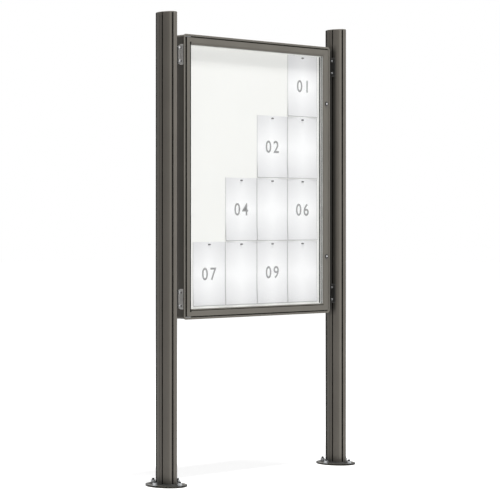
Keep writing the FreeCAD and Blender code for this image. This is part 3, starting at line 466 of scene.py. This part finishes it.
def plate_coat(name, colour, roughness):
    """The same coat on the foot plates, with painted shade round the post and its weld bead, and a
    painted dark reflection round the plate's edge but for its foot."""
    coat = Finish(name, specular_ior_level=0.35)
    shade_tint = settings().finish.painted_shade
    cloud = coat.noise(24.0, 4.0)
    x, y, z = coat.axes()
    tone = coat.blend(coat.ranged(cloud, 0.35, 0.65), shade(colour, 0.75), shade(colour, 1.2))
    # Painted shade round the post and its weld bead.
    from_post = past_oval(coat, x, y, POST_HALF.x + WELD_SHADE_REACH, POST_HALF.y + WELD_SHADE_REACH)
    weld_shade = coat.ranged(from_post, 1.3, 3.2, 0.94, 0.0)
    tone = coat.blend(weld_shade, tone, shade(shade_tint, 1.2))
    # A painted dark reflection along the upper part of the plate's edge.
    side = past_oval(coat, x, y, PLATE_HALF.x, PLATE_HALF.y) > 0.90
    painted_reflection = side * (z > PLATE_FOOT) * 0.95
    tone = coat.blend(painted_reflection, tone, shade(shade_tint, 0.35))
    coat.feed(base_color=tone, metallic=painted_reflection,
              roughness=cloud * 0.2 + weld_shade * 0.3 + (roughness - 0.10))
    coat.bump(coat.noise(1.0 / settings().finish.grain, 2.0), 0.10, 0.0004)
    return coat.material


def panel_enamel(name, colour):
    """Smooth off-white enamel, with painted shade on the pan's turned-up sides."""
    enamel = Finish(name)
    cloud = enamel.noise(3.0, 3.0)
    x = enamel.axes()[0]
    tone = enamel.blend(enamel.ranged(cloud, 0.3, 0.7), shade(colour, 0.985), colour)
    # Painted shade on the pan's turned-up sides.
    tone = enamel.blend((enamel.size_of(x) > PAN_SIDE - SLACK) * 0.25, tone, (0.01, 0.01, 0.01))
    enamel.feed(base_color=tone, roughness=cloud * 0.12 + 0.38)
    enamel.bump(enamel.noise(420.0, 1.0), 0.05, 0.0002)
    return enamel.material


def zinc(name, colour, roughness=0.34):
    """Bright zinc: crystals of tone, duller patches and a fine grain."""
    plating = Finish(name, metallic=1.0)
    crystal = plating.node("ShaderNodeTexVoronoi", {}, {"Vector": plating.place(), "Scale": 900.0},
                           output="Color")
    patch = plating.noise(160.0, 3.0)
    level = plating.node("ShaderNodeRGBToBW", {}, {0: crystal})
    tone = plating.blend(level, shade(colour, 0.82), shade(colour, 1.12))
    tone = plating.blend(plating.ranged(patch, 0.55, 0.75) * 0.4, tone, shade(colour, 0.6))
    plating.feed(base_color=tone, roughness=patch * 0.2 + (roughness - 0.10))
    plating.bump(plating.noise(1300.0, 2.0), 0.12, 0.0001)
    return plating.material


def near_bolts(finish, y, z, place_y, radius):
    """Is 1 within a round spot level with each bracket bolt."""
    bolts = [(low + high) / 2.0 for low, high in solids_of("bracket_case_bolts")]
    up = from_bracket(finish, z) - (bolts[0].z - bolts[2].z) / 2.0
    along = y - place_y
    return up * up + along * along < radius * radius


def satin_steel(name, colour):
    """Brushed stainless sheet: long fine lines and soft clouds, with a painted highlight at the ends of
    the flange on the case, a dark round spot beside each bolt, and painted shade on the web and at the
    post."""
    steel = Finish(name)
    lines = steel.noise(1.0, 3.0, steel.place(scale=(300.0, 60.0, 2600.0)))
    cloud = steel.noise(45.0, 3.0)
    x, y, z = steel.axes()
    tone = steel.blend(steel.ranged(lines, 0.3, 0.7), shade(colour, 0.9), shade(colour, 1.1))
    tone = steel.blend(steel.ranged(cloud, 0.55, 0.8) * 0.35, tone, shade(colour, 0.7))
    # A painted highlight at the bracket's ends.
    bracket_highlight = from_bracket(steel, z) > BRACKET_HALF - HIGHLIGHT_END
    tone = steel.blend(bracket_highlight * 0.8, tone, (1.0, 1.0, 0.98))
    # Painted shade on the web and the flange at the post.
    away = steel.size_of(x) > SIDE_WALL + FLANGE_REACH
    # A dark round spot beside each bolt.
    dark_spot = near_bolts(steel, y, z, BOLT_SPOT_Y, BOLT_SPOT_RADIUS)
    dark = steel.larger(away * 0.93, dark_spot * 0.98)
    tone = steel.blend(dark, tone, (0.02, 0.02, 0.018))
    steel.feed(base_color=tone, roughness=cloud * 0.16 + steel.ranged(lines, 0.3, 0.7, 0.24, 0.34),
               metallic=dark * 0.6 + 0.15)
    steel.bump(lines, 0.08, 0.0001)
    return steel.material


def bolt_zinc(name, colour):
    """Pale dull zinc on the brackets' bolts, with painted shade inside their sockets."""
    plating = Finish(name, metallic=0.3)
    y, z = plating.axes()[1:]
    low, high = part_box("bracket_case_bolts")
    # Painted shade inside the sockets.
    socket = near_bolts(plating, y, z, (low.y + high.y) / 2.0, BOLT_SOCKET_RADIUS)
    patch = plating.noise(400.0, 3.0)
    tone = plating.blend(patch, shade(colour, 0.9), shade(colour, 1.15))
    tone = plating.blend(socket, tone, (0.02, 0.02, 0.02))
    plating.feed(base_color=tone, roughness=patch * 0.15 + 0.3)
    plating.bump(plating.noise(1300.0, 2.0), 0.10, 0.0001)
    return plating.material


def threaded_zinc(name, colour, pitch):
    """Zinc with the fine ridges of a screw thread along its upright axis, its valleys painted darker as
    shade.
    """
    plating = Finish(name, metallic=1.0)
    up = plating.axes()[2]
    wave = plating.node("ShaderNodeMath", {"operation": "PINGPONG"}, {0: up, 1: pitch / 2.0})
    ridge = wave * (2.0 / pitch)
    patch = plating.noise(240.0, 3.0)
    # The thread's valleys are painted darker as shade.
    tone = plating.blend(ridge, shade(colour, 0.45), colour)
    plating.feed(base_color=tone, roughness=patch * 0.2 + 0.26)
    plating.bump(ridge, 0.6, 0.0006)
    return plating.material


def rubber(name, colour):
    """Matt rubber or foam with fine specks and a faint bloom."""
    skin = Finish(name)
    speck = skin.noise(700.0, 3.0)
    bloom = skin.noise(30.0, 4.0)
    tone = skin.blend(skin.ranged(bloom, 0.4, 0.8) * 0.6, colour, shade(colour, 2.4))
    skin.feed(base_color=tone, roughness=bloom * 0.2 + 0.58)
    skin.bump(speck, 0.25, 0.0003)
    return skin.material


def anodised(name, colour):
    """Natural anodised aluminium with drawn lines along the profile."""
    metal = Finish(name, metallic=0.65)
    lines = metal.noise(1.0, 2.0, metal.place(scale=(60.0, 1800.0, 60.0)))
    cloud = metal.noise(14.0, 3.0)
    tone = metal.blend(metal.ranged(lines, 0.35, 0.65), shade(colour, 0.92), shade(colour, 1.06))
    metal.feed(base_color=tone, roughness=cloud * 0.14 + 0.34)
    metal.bump(lines, 0.08, 0.0002)
    return metal.material


def moulded(name, colour, roughness=0.35):
    """Moulded plastic with a faint spark-eroded grain."""
    plastic = Finish(name, coat_weight=0.15)
    grain = plastic.noise(1500.0, 2.0)
    cloud = plastic.noise(60.0, 3.0)
    tone = plastic.blend(plastic.ranged(cloud, 0.35, 0.7), shade(colour, 0.9), shade(colour, 1.1))
    plastic.feed(base_color=tone, roughness=cloud * 0.15 + (roughness - 0.07))
    plastic.bump(grain, 0.15, 0.0001)
    return plastic.material


def chrome(name):
    """Polished plating with a few hairline marks, blacked round each lock's bright middle."""
    plating = Finish(name, metallic=1.0)
    marks = plating.noise(1.0, 3.0, plating.place(scale=(2500.0, 300.0, 400.0)))
    x, z = plating.axes()[::2]
    across = x - (LOCK_LOW.x + LOCK_HIGH.x) / 2.0
    up = plating.size_of(z - CASE_MIDDLE.z) - ((LOCK_LOW.z + LOCK_HIGH.z) / 2.0 - CASE_MIDDLE.z)
    ring = across * across + up * up > LOCK_CORE_RADIUS ** 2
    tone = plating.blend(plating.ranged(marks, 0.55, 0.7) * 0.5, (0.92, 0.92, 0.93), (0.65, 0.65, 0.66))
    tone = plating.blend(ring, tone, (0.012, 0.012, 0.012))
    plating.feed(base_color=tone, roughness=plating.ranged(marks, 0.4, 0.7, 0.10, 0.28) + ring * 0.2)
    plating.bump(marks, 0.05, 0.0001)
    return plating.material


def clear_glass(name):
    """Clear toughened glass: hardly seen face on, plainer to see towards grazing, with a faint film
    of dust."""
    pane = Finish(name, ior=1.5)
    pane.material.surface_render_method = "BLENDED"
    film = pane.noise(6.0, 5.0)
    graze = pane.node("ShaderNodeLayerWeight", {}, {"Blend": 0.5}, output="Facing")
    pane.feed(alpha=graze * graze * graze * graze * 0.6 + pane.ranged(film, 0.5, 0.9, 0.015, 0.035),
              base_color=pane.blend(film, (0.80, 0.86, 0.84), (0.90, 0.93, 0.92)),
              roughness=pane.ranged(film, 0.3, 0.8, 0.02, 0.06))
    return pane.material


def paper(name, centre, edge, outline):
    """Coated paper with a painted pool of light, bright in the middle and greyer towards the corners,
    over each sheet's own UV, with a grey line of painted shade along its sides and its foot."""
    leaf = Finish(name)
    across, up = leaf.parts_of(leaf.node("ShaderNodeTexCoord", output="UV"))[:2]
    across = leaf.size_of(across - 0.5)
    # A painted pool of light: the sheet shades from a bright middle to greyer corners.
    painted_light_pool = leaf.ranged(across + leaf.size_of(up - 0.5) * 1.78, 0.23, 1.21)
    fibre = leaf.noise(900.0, 3.0)
    tone = leaf.blend(painted_light_pool, centre, edge)
    tone = leaf.blend(fibre * 0.05, tone, shade(edge, 0.9))
    # Painted shade along the sheet's sides and foot.
    edge_shade_line = leaf.larger(across > 0.5 - SIDE_SHADE_LINE, up < FOOT_SHADE_LINE)
    tone = leaf.blend(edge_shade_line, tone, outline)
    leaf.feed(base_color=tone, roughness=fibre * 0.1 + 0.5)
    leaf.bump(fibre, 0.06, 0.0001)
    return leaf.material


def ink(name, colour):
    """Thin grey print, a little uneven."""
    film = Finish(name)
    grain = film.noise(600.0, 3.0)
    film.feed(base_color=film.blend(grain, shade(colour, 0.9), shade(colour, 1.12)),
              roughness=grain * 0.2 + 0.4)
    return film.material


# Work on CAD nodes


def solids_of(name):
    """Lowest and highest corner of each separate solid of a CAD node, in metres."""
    mesh = bmesh.new()
    mesh.from_mesh(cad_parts[name].data)
    bmesh.ops.remove_doubles(mesh, verts=mesh.verts, dist=1e-6)
    left = set(mesh.verts)
    boxes = []
    while left:
        reached = {left.pop()}
        edge = list(reached)
        while edge:
            near = {e.other_vert(vert) for vert in edge for e in vert.link_edges}
            edge = list(near - reached)
            reached |= near
        left -= reached
        corners = [vert.co for vert in reached]
        boxes.append((Vector(map(min, *corners)), Vector(map(max, *corners))))
    mesh.free()
    return sorted(boxes, key=lambda pair: (-round(pair[0].z, 3), round(pair[0].x, 3), pair[0].y))


def coat_nodes(material, names):
    """Gives CAD nodes a finish in each of their slots."""
    for name in names:
        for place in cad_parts[name].material_slots:
            place.material = material


# Modelling by hand


def start():
    """Leaves edit mode and deselects everything."""
    if bpy.context.object and bpy.context.object.mode != "OBJECT":
        bpy.ops.object.mode_set(mode="OBJECT")
    bpy.ops.object.select_all(action="DESELECT")


def fix_place(piece, name):
    """Puts an object's place, turn and scale into its mesh."""
    piece.name = name
    bpy.ops.object.transform_apply(location=True, rotation=True, scale=True)
    return piece


def pick(piece, test):
    """Selects, in edit mode, the faces whose centre and normal pass a test."""
    bpy.ops.mesh.select_all(action="DESELECT")
    bpy.ops.mesh.select_mode(type="FACE")
    shape = bmesh.from_edit_mesh(piece.data)
    for face in shape.faces:
        face.select = test(face.calc_center_median(), face.normal)
    shape.select_flush_mode()
    bmesh.update_edit_mesh(piece.data)


def copied(piece, name, offset):
    """A copy with its own mesh, moved within that mesh."""
    twin = piece.copy()
    twin.data = piece.data.copy()
    twin.name = name
    bpy.context.collection.objects.link(twin)
    for vert in twin.data.vertices:
        vert.co += offset
    return twin


def settle(piece, material, slot, *nodes):
    """Gives a piece its finish, lets it ride on the case and hides the CAD nodes it stands for."""
    piece.data.materials.clear()
    piece.data.materials.append(material)
    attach(piece, "root")
    if nodes:
        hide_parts(*nodes)


class BOARD_OT_coat_profiles(bpy.types.Operator):
    """Coat the posts, the foot plates, the case, the door and the brackets"""

    bl_idname = "board.coat_profiles"
    bl_label = "Coat the profiles"

    def execute(self, context):
        colours = settings().finish
        coat_nodes(powder_coat("umber_powder_coat", colours.coat, 0.42), [
            "left_post", "right_post", "left_post_cap", "right_post_cap", "case_top_rail",
            "case_bottom_rail", "case_left_stile", "case_right_stile", "door_top_rail",
            "door_bottom_rail", "door_hinge_stile", "door_lock_stile", "rear_cover"])
        coat_nodes(plate_coat("foot_plate_coat", colours.coat, 0.38), [
            "left_base_plate", "right_base_plate"])
        coat_nodes(satin_steel("satin_steel", colours.bracket), [
            "upper_left_bracket", "lower_left_bracket", "upper_right_bracket", "lower_right_bracket"])
        return {"FINISHED"}


class BOARD_OT_finish_inside(bpy.types.Operator):
    """Finish the panel, the glass, its beads and tapes, and the door seal"""

    bl_idname = "board.finish_inside"
    bl_label = "Finish panel and glazing"

    def execute(self, context):
        colours = settings().finish
        coat_nodes(panel_enamel("panel_enamel", colours.panel), ["display_panel"])
        coat_nodes(clear_glass("clear_glass"), ["glass_pane"])
        coat_nodes(anodised("bead_aluminium", colours.bead), ["glazing_beads"])
        coat_nodes(rubber("seal_rubber", colours.rubber), ["door_seal", "panel_edge_seals"])
        coat_nodes(rubber("foam_tape", colours.tape), ["front_glazing_tape", "rear_glazing_tape"])
        return {"FINISHED"}


class BOARD_OT_finish_fittings(bpy.types.Operator):
    """Finish the hinges, the locks and all the fixings"""

    bl_idname = "board.finish_fittings"
    bl_label = "Finish fittings"

    def execute(self, context):
        colours = settings().finish
        coat_nodes(zinc("bright_zinc", colours.steel), [
            "rear_cover_screws", "bracket_slot_nuts", "bracket_case_nuts", "case_corner_brackets",
            "door_corner_connectors", "upper_hinge_block", "lower_hinge_block", "upper_hinge_pin",
            "lower_hinge_pin", "upper_lock_keeper", "lower_lock_keeper", "upper_lock_nut",
            "lower_lock_nut", "upper_lock_cam", "lower_lock_cam", "upper_cam_screw", "lower_cam_screw"])
        coat_nodes(zinc("weathered_zinc", shade(colours.steel, 0.7), 0.42), [
            "anchor_washers", "anchor_nuts"])
        # The studs' zinc is painted near black as shade.
        coat_nodes(threaded_zinc("threaded_zinc", shade(colours.steel, 0.12), THREAD_PITCH), [
            "anchor_studs"])
        # The bolts on the case get zinc painted pale as a highlight, and the bolts on the posts get zinc
        # painted darker as shade.
        coat_nodes(bolt_zinc("highlit_bolt_zinc", shade(colours.steel, 1.8)), ["bracket_case_bolts"])
        coat_nodes(bolt_zinc("shaded_bolt_zinc", shade(colours.steel, 0.6)), ["bracket_post_bolts"])
        coat_nodes(moulded("hinge_nylon", (0.012, 0.012, 0.012), 0.5), [
            "upper_hinge_bush", "lower_hinge_bush"])
        coat_nodes(moulded("lock_black", (0.016, 0.015, 0.014), 0.35), [
            "upper_lock_housing", "lower_lock_housing"])
        coat_nodes(chrome("lock_chrome"), ["upper_lock_plug", "lower_lock_plug"])
        return {"FINISHED"}


class BOARD_OT_hang_sheets(bpy.types.Operator):
    """Hang the sheets of paper, each with slightly lifted lower corners"""

    bl_idname = "board.hang_sheets"
    bl_label = "Hang the sheets"

    def execute(self, context):
        look = settings().sheet
        finish = paper("coated_paper", look.paper, look.paper_corner_shade, look.outline)
        places = solids_of("paper_sheets")
        low, high = places[0]
        start()
        bpy.ops.mesh.primitive_grid_add(x_subdivisions=12, y_subdivisions=16, size=1.0)
        first = bpy.context.object
        first.scale = (high.x - low.x, high.z - low.z, 1.0)
        first.rotation_euler = (math.pi / 2.0, 0.0, 0.0)
        first.location = ((low.x + high.x) / 2.0, high.y - HAIR, (low.z + high.z) / 2.0)
        fix_place(first, "sheet_1")
        for corner_x in (low.x, high.x):
            bpy.ops.object.mode_set(mode="EDIT")
            bpy.ops.mesh.select_all(action="DESELECT")
            shape = bmesh.from_edit_mesh(first.data)
            for vert in shape.verts:
                vert.select = (vert.co - Vector((corner_x, vert.co.y, low.z))).length < 0.001
            shape.select_flush(True)
            bmesh.update_edit_mesh(first.data)
            bpy.ops.transform.translate(value=(0.0, -look.curl, 0.0), use_proportional_edit=True,
                                        proportional_edit_falloff="SMOOTH", proportional_size=0.09)
            bpy.ops.object.mode_set(mode="OBJECT")
        thicken = first.modifiers.new("thickness", "SOLIDIFY")
        thicken.thickness = PAPER_THICKNESS
        thicken.offset = 0.0
        bpy.ops.object.modifier_apply(modifier=thicken.name)
        bpy.ops.object.shade_smooth_by_angle(angle=math.radians(40.0))
        sheets = [first]
        for count, place in enumerate(places[1:], start=2):
            sheets.append(copied(first, "sheet_%d" % count, place[0] - low))
        for sheet in sheets:
            settle(sheet, finish, "paper", "paper_sheets")
        return {"FINISHED"}


class BOARD_OT_print_numbers(bpy.types.Operator):
    """Print plain numbers on six of the sheets"""

    bl_idname = "board.print_numbers"
    bl_label = "Print the numbers"

    def execute(self, context):
        look = settings().sheet
        finish = ink("grey_print", look.print_colour)
        for count, (low, high) in enumerate(solids_of("paper_sheets"), start=1):
            if count not in NUMBERED_SHEETS:
                continue
            start()
            bpy.ops.object.text_add()
            words = bpy.context.object
            words.data.body = "%02d" % count
            words.data.align_x = "CENTER"
            words.data.align_y = "CENTER"
            words.data.space_character = 1.3
            words.data.offset = 0.011
            words.data.resolution_u = 6
            bpy.ops.object.convert(target="MESH")
            digits = bpy.context.object
            digits.scale = Vector((1.0, 1.0, 1.0)) * (look.number_height / digits.dimensions.y)
            digits.rotation_euler = (math.pi / 2.0, 0.0, 0.0)
            bpy.ops.object.transform_apply(location=True, rotation=True, scale=True)
            corners = [vert.co for vert in digits.data.vertices]
            middle = (Vector(map(min, *corners)) + Vector(map(max, *corners))) / 2.0
            target = Vector(((low.x + high.x) / 2.0, low.y - HAIR, (low.z + high.z) / 2.0))
            for vert in digits.data.vertices:
                vert.co += target - middle
            digits.name = "number_%d" % count
            settle(digits, finish, "paper")
        return {"FINISHED"}


class BOARD_OT_place_magnets(bpy.types.Operator):
    """Place an oblong magnet with rounded ends at the top of each sheet"""

    bl_idname = "board.place_magnets"
    bl_label = "Place the magnets"

    def execute(self, context):
        places = solids_of("magnets")
        finish = moulded("magnet_cap", settings().sheet.magnet, 0.35)
        low, high = places[0]
        middle = (low + high) / 2.0
        radius = (high.z - low.z) / 2.0
        stretch = (high.x - low.x) / 2.0 - radius
        thickness = high.y - low.y
        start()
        bpy.ops.mesh.primitive_cylinder_add(vertices=32, radius=radius, depth=thickness,
                                            location=middle, rotation=(math.pi / 2.0, 0.0, 0.0))
        first = fix_place(bpy.context.object, "magnet_1")
        bpy.ops.object.mode_set(mode="EDIT")
        for side in (-1.0, 1.0):
            bpy.ops.mesh.select_all(action="DESELECT")
            bpy.ops.mesh.select_mode(type="VERT")
            shape = bmesh.from_edit_mesh(first.data)
            for vert in shape.verts:
                vert.select = (vert.co.x - middle.x) * side > 1e-6
            bmesh.update_edit_mesh(first.data)
            bpy.ops.transform.translate(value=(side * stretch, 0.0, 0.0))
        pick(first, lambda centre, normal: normal.y < -0.9)
        bpy.ops.mesh.inset(thickness=radius * 0.26)
        bpy.ops.transform.translate(value=(0.0, thickness * 0.14, 0.0))
        bpy.ops.mesh.inset(thickness=radius * 0.10)
        bpy.ops.transform.translate(value=(0.0, -thickness * 0.10, 0.0))
        bpy.ops.object.mode_set(mode="OBJECT")
        edge = first.modifiers.new("edges", "BEVEL")
        edge.width = thickness * 0.12
        edge.segments = 3
        edge.limit_method = "ANGLE"
        bpy.ops.object.modifier_apply(modifier=edge.name)
        bpy.ops.object.shade_smooth_by_angle(angle=math.radians(35.0))
        bars = [first]
        for count, place in enumerate(places[1:], start=2):
            bars.append(copied(first, "magnet_%d" % count, place[0] - low))
        for bar in bars:
            settle(bar, finish, "magnet_grey", "magnets")
        return {"FINISHED"}


# Studio


def studio_floor(half):
    """A wide pale floor that keeps the shadow and otherwise melts into the backdrop."""
    start()
    bpy.ops.mesh.primitive_plane_add(size=2.0 * half, location=(0.0, 0.0, -0.0005))
    floor = fix_place(bpy.context.object, "studio_floor")
    paint = Finish("studio_floor", roughness=0.9, specular_ior_level=0.0, emission_strength=1.0,
                   base_color=(0.9, 0.9, 0.9, 1.0))
    away = paint.node("ShaderNodeVectorMath", {"operation": "LENGTH"}, {0: paint.place()}, output="Value")
    glow = paint.ranged(away, GLOW_NEAR, GLOW_FAR, GLOW_LOW, GLOW_HIGH)
    glow = Signal(paint, seen_directly(paint.tree)) * glow
    paint.feed(emission_color=paint.blend(glow, (0.0, 0.0, 0.0), (1.0, 1.0, 1.0)))
    floor.data.materials.append(paint.material)


def seen_directly(tree):
    """Is 1 for what the camera, a reflection or a pane shows, and 0 for light on the object."""
    paths = tree.nodes.new("ShaderNodeLightPath")
    total = paths.outputs["Is Camera Ray"]
    for name in ("Is Glossy Ray", "Is Transmission Ray"):
        add = tree.nodes.new("ShaderNodeMath")
        add.operation = "ADD"
        add.use_clamp = True
        tree.links.new(total, add.inputs[0])
        tree.links.new(paths.outputs[name], add.inputs[1])
        total = add.outputs[0]
    return total


def studio_world(level):
    """Even light from all round, behind a white backdrop."""
    world = bpy.data.worlds.new("studio")
    bpy.context.scene.world = world
    world.use_nodes = True
    tree = world.node_tree
    backdrop = tree.nodes["Background"]
    backdrop.inputs["Color"].default_value = (1.0, 1.0, 1.0, 1.0)
    strength = tree.nodes.new("ShaderNodeMapRange")
    tree.links.new(seen_directly(tree), strength.inputs["Value"])
    strength.inputs["To Min"].default_value = level
    strength.inputs["To Max"].default_value = 1.0
    tree.links.new(strength.outputs["Result"], backdrop.inputs["Strength"])


def soft_lamp(name, place, power, size):
    """A large rectangular lamp that points at the middle of the case."""
    start()
    bpy.ops.object.light_add(type="AREA", location=place)
    lamp = bpy.context.object
    lamp.name = name
    lamp.data.shape = "RECTANGLE"
    lamp.data.size, lamp.data.size_y = size
    lamp.data.energy = power
    lamp.rotation_euler = (CASE_MIDDLE - Vector(place)).to_track_quat("-Z", "Y").to_euler()


def studio_camera(studio):
    """A level camera at the photograph's place; the shift puts its horizon on the photograph's row."""
    start()
    bpy.ops.object.camera_add(location=studio.camera_place,
                              rotation=(math.pi / 2.0, 0.0, -studio.camera_heading))
    camera = bpy.context.object
    camera.name = "photo_camera"
    camera.data.sensor_width = 36.0
    camera.data.lens = studio.focal_length
    camera.data.shift_y = (HORIZON_ROW - PHOTO_SIDE / 2.0) / PHOTO_SIDE
    camera.data.clip_end = 5.0 * studio.floor_half
    bpy.context.scene.camera = camera


class BOARD_OT_build_studio(bpy.types.Operator):
    """Build the floor, the backdrop, the lamps and the camera"""

    bl_idname = "board.build_studio"
    bl_label = "Build the studio"

    def execute(self, context):
        studio = settings().studio
        studio_floor(studio.floor_half)
        studio_world(studio.world_level)
        soft_lamp("key_lamp", KEY_PLACE, studio.key_power, KEY_SIZE)
        soft_lamp("top_lamp", TOP_PLACE, studio.top_power, TOP_SIZE)
        studio_camera(studio)
        bpy.context.scene.view_settings.view_transform = "Standard"
        return {"FINISHED"}


OPERATORS = (BOARD_OT_coat_profiles, BOARD_OT_finish_inside, BOARD_OT_finish_fittings,
             BOARD_OT_hang_sheets, BOARD_OT_print_numbers, BOARD_OT_place_magnets, BOARD_OT_build_studio)


class BOARD_PT_sidebar(bpy.types.Panel):
    """The notice board's buttons in the 3D view's sidebar."""

    bl_idname = "BOARD_PT_sidebar"
    bl_label = "Notice Board"
    bl_space_type = "VIEW_3D"
    bl_region_type = "UI"
    bl_category = "Notice Board"

    def draw(self, context):
        layout = self.layout
        for group in ("finish", "sheet", "studio"):
            box = layout.box()
            values = getattr(context.scene.notice_board, group)
            for name in values.bl_rna.properties.keys():
                if name not in ("rna_type", "name"):
                    box.prop(values, name)
        for operator in OPERATORS:
            layout.operator(operator.bl_idname)


CLASSES = (FinishSettings, SheetSettings, StudioSettings, BoardSettings) + OPERATORS + (BOARD_PT_sidebar,)


def register():
    for item in CLASSES:
        bpy.utils.register_class(item)
    bpy.types.Scene.notice_board = PointerProperty(type=BoardSettings)


def unregister():
    del bpy.types.Scene.notice_board
    for item in reversed(CLASSES):
        bpy.utils.unregister_class(item)


def main():
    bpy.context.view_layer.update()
    register()
    bpy.ops.board.coat_profiles()
    bpy.ops.board.finish_inside()
    bpy.ops.board.finish_fittings()
    bpy.ops.board.hang_sheets()
    bpy.ops.board.print_numbers()
    bpy.ops.board.place_magnets()
    bpy.ops.board.build_studio()


if __name__ == "__main__":
    main()
